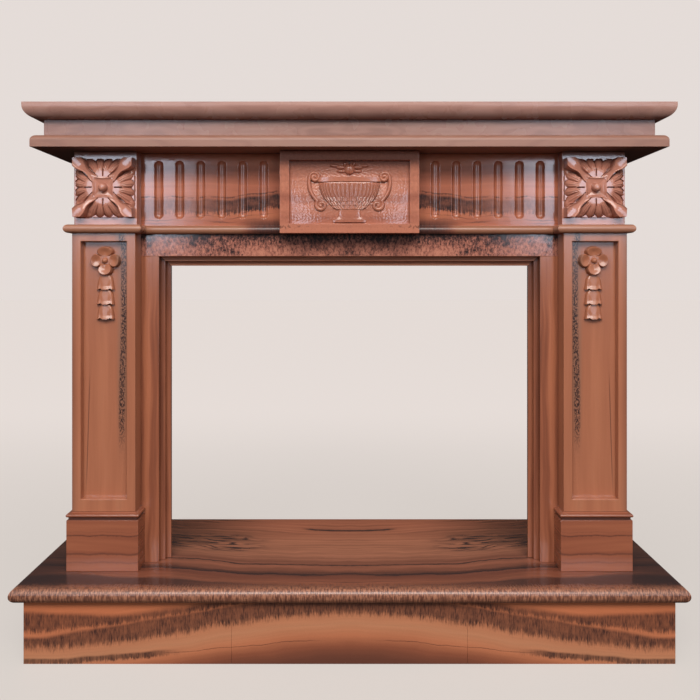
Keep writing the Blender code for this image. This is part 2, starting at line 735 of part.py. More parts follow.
def add_jamb(name, side, parent):
    """Upright of the opening: its moulding is mitred to the header's, its flat carries the header."""
    mould = moulding_points()
    step = 2 * MOULD_STEP_WIDTH
    width = JAMB_WIDTH - GAP
    top = OPENING_TOP_Z - PLINTH_Z - GAP
    section = mould + [(width, 0.0), (width, SLAB_THICKNESS), (step, SLAB_THICKNESS), (0.0, SLAB_THICKNESS)]
    bm = bmesh.new()
    corners = Corners(bm)
    low = [corners.at(side * o, FRIEZE_Y + d, 0.0) for o, d in section]
    high = [corners.at(side * o, FRIEZE_Y + d, top + min(o, step)) for o, d in section]
    for i in range(len(section)):
        corners.face([low[i - 1], low[i], high[i], high[i - 1]])
    corners.face(low)
    corners.face(high[:len(mould)] + high[-2:])
    corners.face(high[len(mould) - 1:-1])
    add_piece("jamb_" + name, bm, WARM_ORANGE, (side * OPENING_X, 0.0, PLINTH_Z), parent)


def add_return(name, side, parent):
    """Plain side panel from the pilaster back to the wall."""
    x0, x1 = sorted([side * (SHAFT_OUTER - RETURN_THICKNESS), side * SHAFT_OUTER])
    top = BED_Z - GAP
    front = FACADE_BACK_Y + GAP
    block("side_panel_" + name, x0, x1, front, WALL_Y, PLINTH_Z, top, WARM_ORANGE, parent)


def add_cornice(parent):
    """Bed mould with a rounded top arris, plain fascia, and shelf with an ovolo under a fillet."""
    top = BED_HEIGHT - GAP
    profile = [(0.0, 0.0)]
    profile += [(o - BED_ROUND, top - BED_ROUND + up) for o, up in arc(BED_ROUND, 0, 90, 6)]
    course("bed_mould", BED_X, BED_Y, BED_Z, profile, GREY_PINK, parent)

    top = FASCIA_HEIGHT - GAP
    course("fascia", FASCIA_X, FASCIA_Y, FASCIA_Z, [(0.0, 0.0), (0.0, top)], GREY_PINK, parent)

    radius = SHELF_HEIGHT - SHELF_FILLET
    profile = [(o - radius, radius + up) for o, up in arc(radius, -90, 0, 8)]
    profile.append((0.0, SHELF_HEIGHT))
    course("mantel_shelf", SHELF_X, SHELF_Y, SHELF_Z, profile, GREY_PINK, parent)


def build():
    """The whole mantel, every piece under one empty."""
    for old in list(bpy.data.objects):
        bpy.data.objects.remove(old, do_unlink=True)
    mantel = bpy.data.objects.new("fireplace_mantel", None)
    bpy.context.scene.collection.objects.link(mantel)
    add_riser(mantel)
    add_hearth(mantel)
    for name, side in (("left", -1), ("right", 1)):
        add_plinth(name, side, mantel)
        add_shaft(name, side, mantel)
        add_capital(name, side, mantel)
        add_frieze(name, side, mantel)
        add_jamb(name, side, mantel)
        add_return(name, side, mantel)
    add_tablet(mantel)
    add_architrave(mantel)
    add_cornice(mantel)


build()
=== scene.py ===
# %% [markdown]
# A carved stone fireplace mantel, dressed around its solid model.
# The solid model fixes every size: this lesson only refines surfaces and gives them their stone.
# The first cell loads that model and notes the box that the finished piece has to stay inside.

# %% Load the frame
import math

import bmesh
import bpy
import numpy as np
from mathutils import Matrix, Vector


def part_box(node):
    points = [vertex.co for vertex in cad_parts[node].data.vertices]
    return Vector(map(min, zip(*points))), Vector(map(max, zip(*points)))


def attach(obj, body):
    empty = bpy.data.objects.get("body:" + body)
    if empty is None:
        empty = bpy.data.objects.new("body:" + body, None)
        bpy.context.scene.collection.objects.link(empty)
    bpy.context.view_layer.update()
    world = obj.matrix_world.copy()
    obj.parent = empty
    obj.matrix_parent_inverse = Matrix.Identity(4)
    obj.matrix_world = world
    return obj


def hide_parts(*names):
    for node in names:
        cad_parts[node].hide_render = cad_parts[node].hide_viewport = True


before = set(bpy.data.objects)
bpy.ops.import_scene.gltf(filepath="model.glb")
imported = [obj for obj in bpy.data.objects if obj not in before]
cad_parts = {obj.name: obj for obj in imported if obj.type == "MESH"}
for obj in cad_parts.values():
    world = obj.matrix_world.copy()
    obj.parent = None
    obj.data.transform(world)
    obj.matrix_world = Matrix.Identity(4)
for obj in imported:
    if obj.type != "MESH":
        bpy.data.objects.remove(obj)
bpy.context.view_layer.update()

box = {name: [np.array(corner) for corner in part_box(name)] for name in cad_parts}
SIDES = (("left", -1), ("right", 1))

# %% [markdown]
# The photograph was taken level, from straight in front, with the horizon above the picture's
# middle. A level camera keeps the uprights parallel, and a vertical shift gives the framing.

# %% Camera
PICTURE = 700.0
FOCAL_PIXELS = 850.0
HORIZON_PIXEL = 277.0
MIDDLE_PIXEL = 349.5
EYE_HEIGHT = 0.869
EYE_Y = -2.158
SENSOR = 36.0

camera_data = bpy.data.cameras.new("camera")
camera_data.sensor_width = SENSOR
camera_data.lens = SENSOR * FOCAL_PIXELS / PICTURE
camera_data.shift_x = (PICTURE / 2 - MIDDLE_PIXEL) / PICTURE
camera_data.shift_y = (HORIZON_PIXEL - PICTURE / 2) / PICTURE
camera = bpy.data.objects.new("camera", camera_data)
camera.location = (0.0, EYE_Y, EYE_HEIGHT)
camera.rotation_euler = (math.radians(90), 0.0, 0.0)
bpy.context.scene.collection.objects.link(camera)
bpy.context.scene.camera = camera
print("lens", round(camera_data.lens, 2), "shift", round(camera_data.shift_y, 4))

# %% [markdown]
# The studio is a pale floor under an even pale sky. Polished stone shows what it faces, so the
# lights are large: a broad soft box over the camera, and two cool window-like panels further back
# whose reflections fall on the outer ends of the frieze. The sky that lights the stone is dimmer
# than the one the camera sees, and dark below and behind, which keeps the polished hearth deep.

# %% Floor, sky and lights
FLOOR_COLOUR = (0.13, 0.12, 0.115, 1.0)
FLOOR_GLOW = (0.555, 0.515, 0.482, 1.0)
FAR_GLOW = (0.694, 0.635, 0.604, 1.0)
SKY_COLOUR = (0.78, 0.715, 0.685, 1.0)


def plain_material(name, colour, roughness):
    """One even colour, for things that aren't part of the object."""
    material = bpy.data.materials.new(name)
    material.use_nodes = True
    shader = material.node_tree.nodes["Principled BSDF"]
    shader.inputs["Base Color"].default_value = colour
    shader.inputs["Roughness"].default_value = roughness
    return material


def area_light(name, place, target, size, power, colour):
    """Rectangular soft box at a place, turned to face a target."""
    data = bpy.data.lights.new(name, "AREA")
    data.shape = "RECTANGLE"
    data.size, data.size_y = size
    data.energy = power
    data.color = colour
    light = bpy.data.objects.new(name, data)
    light.location = place
    light.rotation_euler = (Vector(target) - Vector(place)).to_track_quat("-Z", "Y").to_euler()
    bpy.context.scene.collection.objects.link(light)
    return light


def smooth_range(tree, value, low, high, at_low, at_high):
    """Map Range node: an S curve from at_low, where value is low, to at_high, where it is high."""
    node = tree.nodes.new("ShaderNodeMapRange")
    node.interpolation_type = "SMOOTHSTEP"
    tree.links.new(value, node.inputs["Value"])
    for name, limit in (("From Min", low), ("From Max", high), ("To Min", at_low), ("To Max", at_high)):
        node.inputs[name].default_value = limit
    return node.outputs[0]


REACH = 30.0
floor_mesh = bpy.data.meshes.new("floor")
floor_mesh.from_pydata(
    [(-REACH, -REACH, 0.0), (REACH, -REACH, 0.0), (REACH, REACH, 0.0), (-REACH, REACH, 0.0)],
    [],
    [(0, 1, 2, 3)],
)
floor = bpy.data.objects.new("floor", floor_mesh)
pale = plain_material("pale_floor", FLOOR_COLOUR, 0.6)
floor_mesh.materials.append(pale)


def pale_towards_horizon(material):
    """The floor's own faint light, so that it is even near by and meets the sky without a line."""
    tree = material.node_tree
    place = tree.nodes.new("ShaderNodeTexCoord")
    split = tree.nodes.new("ShaderNodeSeparateXYZ")
    tree.links.new(place.outputs["Object"], split.inputs[0])
    away = smooth_range(tree, split.outputs["Y"], 0.0, 3.5, 0.0, 1.0)
    glow = tree.nodes.new("ShaderNodeMix")
    glow.data_type = "RGBA"
    glow.inputs[6].default_value = FLOOR_GLOW
    glow.inputs[7].default_value = FAR_GLOW
    tree.links.new(away, glow.inputs[0])
    shader = tree.nodes["Principled BSDF"]
    tree.links.new(glow.outputs[2], shader.inputs["Emission Color"])
    shader.inputs["Emission Strength"].default_value = 1.0


pale_towards_horizon(pale)
bpy.context.scene.collection.objects.link(floor)
floor.visible_diffuse = False
floor.visible_glossy = False


def studio_world():
    """Sky: an even colour to the camera, and a soft light from above and in front to the stone."""
    world = bpy.data.worlds.new("studio")
    world.use_nodes = True
    tree = world.node_tree
    nodes, links = tree.nodes, tree.links
    place = nodes.new("ShaderNodeTexCoord")
    split = nodes.new("ShaderNodeSeparateXYZ")
    links.new(place.outputs["Generated"], split.inputs[0])
    above = smooth_range(tree, split.outputs["Z"], -0.05, 1.00, 0.09, 2.20)
    before = smooth_range(tree, split.outputs["Y"], -0.70, 0.40, 1.0, 0.12)
    power = nodes.new("ShaderNodeMath")
    power.operation = "MULTIPLY"
    links.new(above, power.inputs[0])
    links.new(before, power.inputs[1])
    lit = nodes["Background"]
    lit.inputs["Color"].default_value = SKY_COLOUR
    links.new(power.outputs[0], lit.inputs["Strength"])
    seen = nodes.new("ShaderNodeBackground")
    seen.inputs["Color"].default_value = SKY_COLOUR
    rays = nodes.new("ShaderNodeLightPath")
    choose = nodes.new("ShaderNodeMixShader")
    links.new(rays.outputs["Is Camera Ray"], choose.inputs[0])
    links.new(lit.outputs[0], choose.inputs[1])
    links.new(seen.outputs[0], choose.inputs[2])
    links.new(choose.outputs[0], nodes["World Output"].inputs[0])
    return world


bpy.context.scene.world = studio_world()
bpy.context.scene.view_settings.view_transform = "Standard"

WARM_WHITE = (1.0, 0.96, 0.92)
COOL_WHITE = (0.72, 0.83, 1.0)
area_light("key", (0.0, -3.4, 3.0), (0.0, 0.0, 0.6), (3.4, 1.4), 148.0, WARM_WHITE)
for word, side in SIDES:
    place, target = (side * 2.15, -6.2, 1.75), (side * 0.5, 0.0, 1.0)
    area_light("window_" + word, place, target, (1.1, 1.1), 34.0, COOL_WHITE)
print("lights", len(bpy.data.lights))

# %% [markdown]
# Meshes. Every piece is either rings carried upwards (a moulded course, a block), a section
# carried along a bar, or a carved face: a grid of heights with plain sides and back.
# All are worked out as whole arrays and put straight into a mesh.

# %% Mesh helpers
TURN_LIMIT = 5000
SHARP_ANGLE = math.radians(32)
ARRIS_ANGLE = math.radians(40)


def finish_piece(name, points, faces, material, nodes, arris=0.0):
    """Closed skin to a piece that stands for its nodes; arris is the width of its worn edges.

    The carved grids are made facing outwards; the few faces of a plain piece are turned here.
    """
    mesh = bpy.data.meshes.new(name)
    mesh.from_pydata(points.tolist(), [], faces)
    if len(faces) < TURN_LIMIT:
        shell = bmesh.new()
        shell.from_mesh(mesh)
        bmesh.ops.recalc_face_normals(shell, faces=shell.faces)
        shell.to_mesh(mesh)
        shell.free()
    mesh.materials.append(material)
    mesh.shade_smooth()
    mesh.set_sharp_from_angle(angle=SHARP_ANGLE)
    piece = bpy.data.objects.new(name, mesh)
    bpy.context.scene.collection.objects.link(piece)
    if arris:
        soft = piece.modifiers.new("worn_arris", "BEVEL")
        soft.width = arris
        soft.segments = 2
        soft.limit_method = "ANGLE"
        soft.angle_limit = ARRIS_ANGLE
    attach(piece, "root")
    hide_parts(*nodes)
    print(name, "faces", len(faces))
    return piece


def strip_faces(first, second):
    """Quads between two closed loops of point numbers."""
    return np.stack([first, np.roll(first, -1), np.roll(second, -1), second], axis=1)


def tube(rings):
    """Closed skin through rings (count, around, 3): quads between rings, a face over each end."""
    count, around = rings.shape[:2]
    index = np.arange(count * around).reshape(count, around)
    quads = np.concatenate([strip_faces(index[i], index[i + 1]) for i in range(count - 1)])
    faces = quads.tolist()
    faces.append(index[0][::-1].tolist())
    faces.append(index[-1].tolist())
    return rings.reshape(-1, 3), faces


def skin(polygons):
    """Points and faces of a closed skin from its polygons, which share a corner where they meet."""
    found = {}
    faces = [
        [found.setdefault(tuple(round(float(v), 7) for v in corner), len(found)) for corner in polygon]
        for polygon in polygons
    ]
    return np.array(list(found)), faces


print("joined corners of two triangles", len(skin([[(0, 0, 0), (1, 0, 0), (0, 1, 0)]] * 2)[0]))

# %% [markdown]
# Carving. A carved face could be sculpted or cut with Booleans, but a grid of heights keeps every
# petal and flute a formula that can be read and changed. The grid is fine only where the face
# bends, so its lines are given by stops and the widest cell between them.

# %% Carving helpers
def carved_block(xs, zs, face_y, back_y, height):
    """A block whose front at (x, z) stands height(x, z) before face_y, with plain sides and back."""
    grid_x, grid_z = np.meshgrid(xs, zs, indexing="ij")
    front = np.stack([grid_x, face_y - height(grid_x, grid_z), grid_z], axis=2)
    nx, nz = grid_x.shape
    index = np.arange(nx * nz).reshape(nx, nz)
    quads = np.stack([index[:-1, :-1], index[1:, :-1], index[1:, 1:], index[:-1, 1:]], axis=2)
    loop = np.concatenate([index[:-1, 0], index[-1, :-1], index[:0:-1, -1], index[0, :0:-1]])
    points = front.reshape(-1, 3)
    back = points[loop].copy()
    back[:, 1] = back_y
    behind = nx * nz + np.arange(len(loop))
    faces = quads.reshape(-1, 4).tolist() + strip_faces(loop, behind)[:, ::-1].tolist()
    faces.append(behind[::-1].tolist())
    return np.concatenate([points, back]), faces


def lines(stops, steps):
    """Grid lines through every stop, with no cell wider than the step of its stretch."""
    parts = [np.array([stops[0]])]
    for start, end, step in zip(stops, stops[1:], steps):
        cells = max(1, math.ceil((end - start) / step - 1e-6))
        parts.append(start + (end - start) * np.arange(1, cells + 1) / cells)
    return np.concatenate(parts)


def edge_drop(x, z, low_x, high_x, low_z, high_z, radius):
    """How far a face falls at its four arrises, each rounded by a quarter circle."""
    near = np.minimum.reduce([x - low_x, high_x - x, z - low_z, high_z - z])
    short = np.clip(radius - near, 0.0, radius)
    return radius - np.sqrt(radius ** 2 - short ** 2)


def smooth_step(low, high, value):
    """0 below low, 1 above high, an S curve between."""
    t = np.clip((value - low) / (high - low), 0.0, 1.0)
    return t * t * (3.0 - 2.0 * t)


def domed(distance, power):
    """Rounded edge: 1 in the middle, falling to 0 at distance 1, the later the higher the power."""
    return np.sqrt(np.clip(1.0 - np.clip(distance, 0.0, 1.0) ** power, 0.0, 1.0))


def ball(distance):
    """Half a ball: 1 in the middle, 0 from distance 1 outwards."""
    return np.sqrt(np.clip(1.0 - distance ** 2, 0.0, 1.0))


def outline(low_x, high_x, front, back, out=0.0):
    """Plan of a course, let out by out at its front and both ends."""
    return [
        (low_x - out, back),
        (low_x - out, front - out),
        (high_x + out, front - out),
        (high_x + out, back),
    ]


def rings_of(profile, plan):
    """Rings of a course: plan(out) at each (out, z) of the profile, turned to face outwards."""
    return np.array([[(x, y, z) for x, y in plan(out)] for out, z in profile])


def arc(radius, start, end, cells):
    """Points of an arc about its centre, angles in degrees from the outward direction."""
    angles = np.radians(np.linspace(start, end, cells + 1))
    return np.stack([radius * np.cos(angles), radius * np.sin(angles)], axis=1)


print("lines from 0 to 1 and 3", len(lines([0.0, 1.0, 3.0], [0.5, 1.0])))

# %% [markdown]
# The stone. It is a banded, polished stone: warm orange and red-brown layers, with near-black
# layers whose lower edge frays into short dark hairs. One small class writes the shader graphs,
# so that each finish below can be read as a formula in x, y and z (metres).
# The two halves of the mantel are cut as mirror images, so most patterns read the distance from
# the middle, |x|, rather than x.

# %% Shader helpers
GRAIN = 0.2


class Stone:
    """A polished stone material under construction; each method adds the nodes of one term."""

    def __init__(self, name):
        """Empty material with its shader, the object coordinates x, y and z, and side = |x|."""
        self.material = bpy.data.materials.new(name)
        self.material.use_nodes = True
        self.tree = self.material.node_tree
        self.shader = self.tree.nodes["Principled BSDF"]
        place = self.tree.nodes.new("ShaderNodeTexCoord")
        split = self.tree.nodes.new("ShaderNodeSeparateXYZ")
        self.tree.links.new(place.outputs["Object"], split.inputs[0])
        self.x, self.y, self.z = split.outputs
        self.side = self.math("ABSOLUTE", self.x)

    def plug(self, value, socket):
        """Link a socket, or set a plain value."""
        if isinstance(value, bpy.types.NodeSocket):
            self.tree.links.new(value, socket)
        else:
            socket.default_value = value

    def math(self, operation, *values):
        """One Math node."""
        node = self.tree.nodes.new("ShaderNodeMath")
        node.operation = operation
        for value, socket in zip(values, node.inputs):
            self.plug(value, socket)
        return node.outputs[0]

    def add(self, *values):
        """Sum of the values."""
        total = values[0]
        for value in values[1:]:
            total = self.math("ADD", total, value)
        return total

    def times(self, *values):
        """Product of the values."""
        total = values[0]
        for value in values[1:]:
            total = self.math("MULTIPLY", total, value)
        return total

    def most(self, *values):
        """Largest of the values."""
        total = values[0]
        for value in values[1:]:
            total = self.math("MAXIMUM", total, value)
        return total

    def rise(self, value, low, high):
        """0 below low, 1 above high, an S curve between; low above high turns it over."""
        if low > high:
            return smooth_range(self.tree, value, high, low, 1.0, 0.0)
        return smooth_range(self.tree, value, low, high, 0.0, 1.0)

    def noise(self, x, y, z, detail=2.0, rough=0.5):
        """Noise about zero; each coordinate is a value, or a pair of a value and its scale."""
        joined = self.tree.nodes.new("ShaderNodeCombineXYZ")
        for value, socket in zip((x, y, z), joined.inputs):
            self.plug(self.times(*value) if isinstance(value, tuple) else value, socket)
        node = self.tree.nodes.new("ShaderNodeTexNoise")
        node.inputs["Scale"].default_value = 1.0
        node.inputs["Detail"].default_value = detail
        node.inputs["Roughness"].default_value = rough
        self.tree.links.new(joined.outputs[0], node.inputs["Vector"])
        return self.math("SUBTRACT", node.outputs["Fac"], 0.5)

    def even_noise(self, scale, detail=2.0):
        """Noise about zero, of one scale in every direction."""
        return self.noise((self.x, scale), (self.y, scale), (self.z, scale), detail)

    def ramp(self, value, stops):
        """Colour by value; stops are (position, colour)."""
        node = self.tree.nodes.new("ShaderNodeValToRGB")
        band = node.color_ramp
        while len(band.elements) < len(stops):
            band.elements.new(0.5)
        for element, (position, colour) in zip(band.elements, stops):
            element.position = position
            element.color = (*colour, 1.0)
        self.plug(value, node.inputs[0])
        return node.outputs[0]

    def mix(self, share, first, second, mode="MIX"):
        """Two colours mixed by a share from 0 to 1."""
        node = self.tree.nodes.new("ShaderNodeMix")
        node.data_type = "RGBA"
        node.blend_type = mode
        self.plug(share, node.inputs[0])
        for value, socket in ((first, node.inputs[6]), (second, node.inputs[7])):
            self.plug(value if isinstance(value, bpy.types.NodeSocket) else (*value, 1.0), socket)
        return node.outputs[2]

    def shaded(self, colour, factor):
        """A colour multiplied by another, channel by channel."""
        return self.mix(1.0, colour, factor, "MULTIPLY")

    def band(self, value, low, high, soft, hair=0.0):
        """1 between low and high, with soft edges; hair frays the low edge."""
        lower = self.rise(self.add(value, hair), low - soft, low + soft)
        return self.times(lower, self.rise(value, high + soft, high - soft))

    def finish(self, colour, roughness=0.16, wave=0.00006):
        """Fine grain over the colour, a polish that waves by a few hundredths of a millimetre."""
        speck = self.even_noise(900.0)
        tone = self.add(1.0, self.times(speck, GRAIN))
        lit = self.shaded(colour, self.grey(tone))
        self.plug(lit, self.shader.inputs["Base Color"])
        wide = self.even_noise(18.0)
        self.plug(self.add(roughness, self.times(wide, 0.06)), self.shader.inputs["Roughness"])
        slow = self.even_noise(55.0, 1.0)
        bump = self.tree.nodes.new("ShaderNodeBump")
        bump.inputs["Distance"].default_value = wave
        self.plug(slow, bump.inputs["Height"])
        self.plug(bump.outputs[0], self.shader.inputs["Normal"])
        self.shader.inputs["IOR"].default_value = 1.5
        return self.material

    def grey(self, value):
        """A value as a grey colour."""
        node = self.tree.nodes.new("ShaderNodeCombineColor")
        for socket in node.inputs:
            self.plug(value, socket)
        return node.outputs[0]


# Linear colours of the stone's layers
ORANGE = (0.430, 0.150, 0.072)
BRIGHT_ORANGE = (0.480, 0.150, 0.065)
TAN = (0.440, 0.190, 0.098)
RED_BROWN = (0.225, 0.072, 0.038)
DEEP_BROWN = (0.110, 0.040, 0.026)
INK = (0.030, 0.017, 0.017)
PINK_GREY = (0.320, 0.190, 0.150)
print("darkest layer", INK, "brightest", BRIGHT_ORANGE)

# %% [markdown]
# Riser. Its layers arch up towards the middle of the hearth, so the pattern's height is z less
# the height of that arch, which falls off with |x|. Two dark layers fray downwards into hairs
# over a wide orange layer, and a thin vein runs low down. A painted picture could show them too,
# but layers written as bands of a height stay sharp at any size.

# %% Riser stone
def layer_shade(stone, along, across, low, high):
    """Fine streaks along a layer: noise drawn out one way, as a brightness."""
    streak = stone.noise((along, 5.0), 0.0, (across, 170.0), 3.0)
    return stone.grey(stone.add((low + high) / 2, stone.times(streak, high - low)))


def riser_stone():
    """Arched dark layers with frayed lower edges on orange."""
    stone = Stone("riser_stone")
    side = stone.side
    hearth_end = 0.73
    arch = stone.times(stone.rise(side, hearth_end, 0.0), 0.080)
    wander = stone.times(stone.noise((side, 9.0), 0.0, (stone.z, 14.0), 3.0), 0.016)
    level = stone.add(stone.z, stone.times(arch, -1.0), wander, -0.048)
    hair = stone.noise((side, 330.0), 3.0, (stone.z, 60.0), 3.0, 0.6)
    tufts = stone.noise((side, 70.0), 5.0, (stone.z, 18.0), 3.0, 0.6)
    fray = stone.add(stone.times(hair, 0.034), stone.times(tufts, 0.022))
    base = stone.ramp(
        stone.rise(level, -0.13, 0.09),
        [
            (0.0, DEEP_BROWN), (0.10, RED_BROWN), (0.22, ORANGE),
            (0.38, TAN), (0.62, ORANGE), (1.0, BRIGHT_ORANGE),
        ],
    )
    base = stone.shaded(base, layer_shade(stone, side, level, 0.92, 1.22))
    taper = stone.rise(side, hearth_end, 0.46)
    frayed = stone.add(level, fray)
    high = stone.add(level, stone.times(taper, 0.024))
    first = stone.times(stone.rise(frayed, 0.018, 0.034), stone.rise(high, 0.074, 0.060))
    high = stone.add(level, stone.times(taper, -0.016))
    second = stone.times(stone.rise(frayed, -0.024, -0.006), stone.rise(high, 0.017, 0.005))
    sink = stone.times(stone.rise(side, 0.70, 0.0), 0.030)
    low = stone.add(level, sink)
    thick = stone.band(low, -0.050, -0.038, 0.003, stone.times(fray, 0.6))
    thick = stone.times(thick, stone.rise(side, 0.36, 0.46))
    jag = stone.times(stone.noise((side, 90.0), 9.0, 0.0, 2.0), 0.003)
    thin = stone.band(stone.add(low, jag), -0.0448, -0.0436, 0.0007)
    thin = stone.times(thin, stone.rise(side, 0.04, 0.12))
    patchy = stone.add(0.95, stone.times(stone.noise((side, 12.0), 7.0, (stone.z, 30.0), 2.0), 0.5))
    dark = stone.most(stone.times(first, 0.84), stone.times(second, 0.86))
    dark = stone.times(stone.most(dark, stone.times(thick, 0.85)), patchy)
    dark = stone.most(dark, stone.times(thin, 0.80))
    mottled = stone.add(0.86, stone.times(hair, 1.3), stone.times(tufts, 0.7))
    return stone.finish(stone.mix(stone.times(dark, mottled), base, INK))


RISER = riser_stone()
print("riser nodes", len(RISER.node_tree.nodes))

# %% [markdown]
# Hearth slab. Seen from above its layers run along the front edge. They are followed round the
# nose by adding height to depth, so one coordinate runs over the top and down the front. A knot of
# dark loops lies on either side, and one arched line at the back.

# %% Hearth stone
def hearth_stone():
    """Streaky red-brown with dark layers, near-black at the two ends, hairy along the nose."""
    stone = Stone("hearth_stone")
    side = stone.side
    depth = stone.add(stone.y, stone.z, -float(box["hearth_slab"][1][2]))
    wander = stone.times(stone.noise((side, 5.0), (stone.y, 7.0), 0.0, 3.0), 0.070)
    bow = stone.times(stone.rise(side, 0.55, 0.10), 0.060)
    level = stone.add(depth, wander, bow)
    hair = stone.noise((side, 300.0), (depth, 60.0), 2.0, 3.0, 0.65)
    streaks = stone.noise((side, 2.5), (level, 60.0), 0.0, 4.0, 0.6)
    base = stone.ramp(
        stone.add(0.509, stone.times(level, 1.818)),
        [
            (0.00, (0.27, 0.100, 0.056)), (0.10, (0.20, 0.065, 0.036)), (0.17, (0.27, 0.092, 0.050)),
            (0.25, (0.18, 0.058, 0.034)), (0.31, DEEP_BROWN), (0.36, (0.27, 0.095, 0.054)),
            (0.46, (0.22, 0.080, 0.047)), (0.55, (0.380, 0.148, 0.084)), (0.70, (0.410, 0.158, 0.088)),
            (1.00, (0.42, 0.142, 0.076)),
        ],
    )
    corner = stone.times(stone.rise(side, 0.16, 0.42), stone.rise(stone.y, 0.02, 0.08), -0.44)
    base = stone.shaded(base, stone.grey(stone.add(0.96, stone.times(streaks, 1.5), corner)))
    knot = stone.noise((side, 4.5), (level, 26.0), 5.0, 2.0)
    loops = stone.rise(stone.math("ABSOLUTE", stone.math("SINE", stone.times(knot, 26.0))), 0.90, 0.15)
    loops = stone.times(loops, stone.band(level, 0.030, 0.150, 0.030), stone.band(side, 0.24, 0.50, 0.06))
    base = stone.mix(stone.times(loops, stone.add(0.92, hair)), base, INK)
    jag = stone.times(stone.noise((side, 60.0), (depth, 30.0), 0.0, 3.0), 0.008)
    back = stone.add(stone.y, stone.times(stone.times(side, side), -1.0), jag)
    back = stone.times(stone.band(back, 0.157, 0.171, 0.005), stone.rise(side, 0.135, 0.100), 0.88)
    base = stone.mix(back, base, INK)
    for at, half, share in ((-0.118, 0.0045, 0.85), (-0.052, 0.0040, 0.75), (-0.170, 0.0012, 0.50)):
        line = stone.band(stone.add(level, jag), at - half, at + half, 0.0025)
        base = stone.mix(stone.times(line, share), base, INK)
    ends = stone.rise(stone.add(side, stone.times(streaks, 0.5)), 0.50, 0.72)
    base = stone.mix(stone.times(ends, 0.80), base, INK)
    front = stone.band(level, -0.240, -0.185, 0.012, stone.times(hair, 0.03))
    front = stone.times(front, stone.add(0.30, stone.times(stone.rise(side, 0.15, 0.45), 0.70)))
    base = stone.mix(stone.times(front, 0.85), base, INK)
    nose = stone.rise(stone.add(depth, stone.times(hair, 0.11), stone.times(streaks, 0.03)), -0.232, -0.262)
    hairy = stone.rise(hair, -0.10, 0.12)
    nose_colour = stone.mix(hairy, DEEP_BROWN, (0.40, 0.175, 0.100))
    rough = stone.add(0.21, stone.times(nose, 0.08))
    return stone.finish(stone.mix(stone.times(nose, 0.85), base, nose_colour), rough, wave=0.00010)


HEARTH = hearth_stone()
print("hearth nodes", len(HEARTH.node_tree.nodes))

# %% [markdown]
# Warm stone. Pilasters, jambs and tablet are cut from the orange part of the block. On the
# shafts the grain stands upright, on plinths and capitals it lies flat. They share one base, and
# each stone below adds its own veins to it.

# %% Warm stone and shafts
def warm_stone(name, upright, tones, spread=1.0):
    """Orange stone with fine grain along one direction."""
    stone = Stone(name)
    along, across = (stone.z, stone.side) if upright else (stone.side, stone.z)
    bend = stone.times(stone.noise((along, 4.0), (stone.y, 4.0), (across, 8.0)), 0.03)
    level = stone.add(across, bend)
    wide = stone.noise((along, 2.0), (stone.y, 6.0), (level, 26.0 * spread), 3.0)
    base = stone.ramp(stone.add(0.5, stone.times(wide, 1.3)), tones)
    base = stone.shaded(base, layer_shade(stone, along, level, 0.90, 1.10))
    return stone, base


def shaft_stone():
    """Upright grain, a jagged dark vein by the sunk panel's inner edge, a thin one low outside."""
    tones = [
        (0.00, (0.220, 0.078, 0.044)), (0.35, (0.325, 0.118, 0.063)),
        (0.65, (0.380, 0.143, 0.076)), (1.00, (0.390, 0.170, 0.096)),
    ]
    stone, base = warm_stone("shaft_stone", True, tones)
    hair = stone.noise((stone.z, 260.0), 1.0, (stone.side, 60.0), 3.0, 0.6)
    haze = stone.band(stone.side, 0.5300, 0.5540, 0.0060, stone.times(hair, 0.012))
    haze = stone.times(haze, stone.rise(stone.z, 0.40, 0.62), 0.62)
    base = stone.mix(haze, base, (0.225, 0.118, 0.078))
    fleck = stone.noise((stone.side, 300.0), 6.0, (stone.z, 150.0), 3.0, 0.65)
    shift = stone.add(stone.side, stone.times(stone.rise(stone.z, 0.78, 0.56), -0.005))
    vein = stone.band(shift, 0.5335, 0.5465, 0.0030, stone.times(hair, 0.016))
    vein = stone.times(vein, stone.rise(fleck, -0.08, 0.05))
    upper = stone.add(0.05, stone.times(stone.rise(stone.z, 0.44, 0.53), 0.92))
    thin = stone.add(stone.side, stone.times(stone.add(stone.z, -0.5), 0.03))
    line = stone.times(stone.band(thin, 0.6242, 0.6262, 0.0010), stone.rise(stone.z, 0.66, 0.58))
    line = stone.times(line, stone.rise(stone.z, 0.34, 0.42), 0.6)
    edge = stone.times(stone.rise(stone.side, 0.640, 0.662), 0.45)
    dark = stone.most(stone.times(vein, upper), line, edge)
    return stone.finish(stone.mix(dark, base, INK), 0.20)


SHAFT = shaft_stone()
print("shaft nodes", len(SHAFT.node_tree.nodes))

# %% [markdown]
# Plinths and capitals lie flat in their beds. Thin wavy veins cross the plinths, and a dark joint
# shows under each cap; the capitals are the clearest orange of all, duller on their astragals.
# The veins are bands of a height that noise moves up and down.

# %% Plinth and capital stones
# Height of the top of the bead and astragals, and half the height over which the stone changes
BEAD_TOP = 0.9935
BEAD_BLEND = 0.001


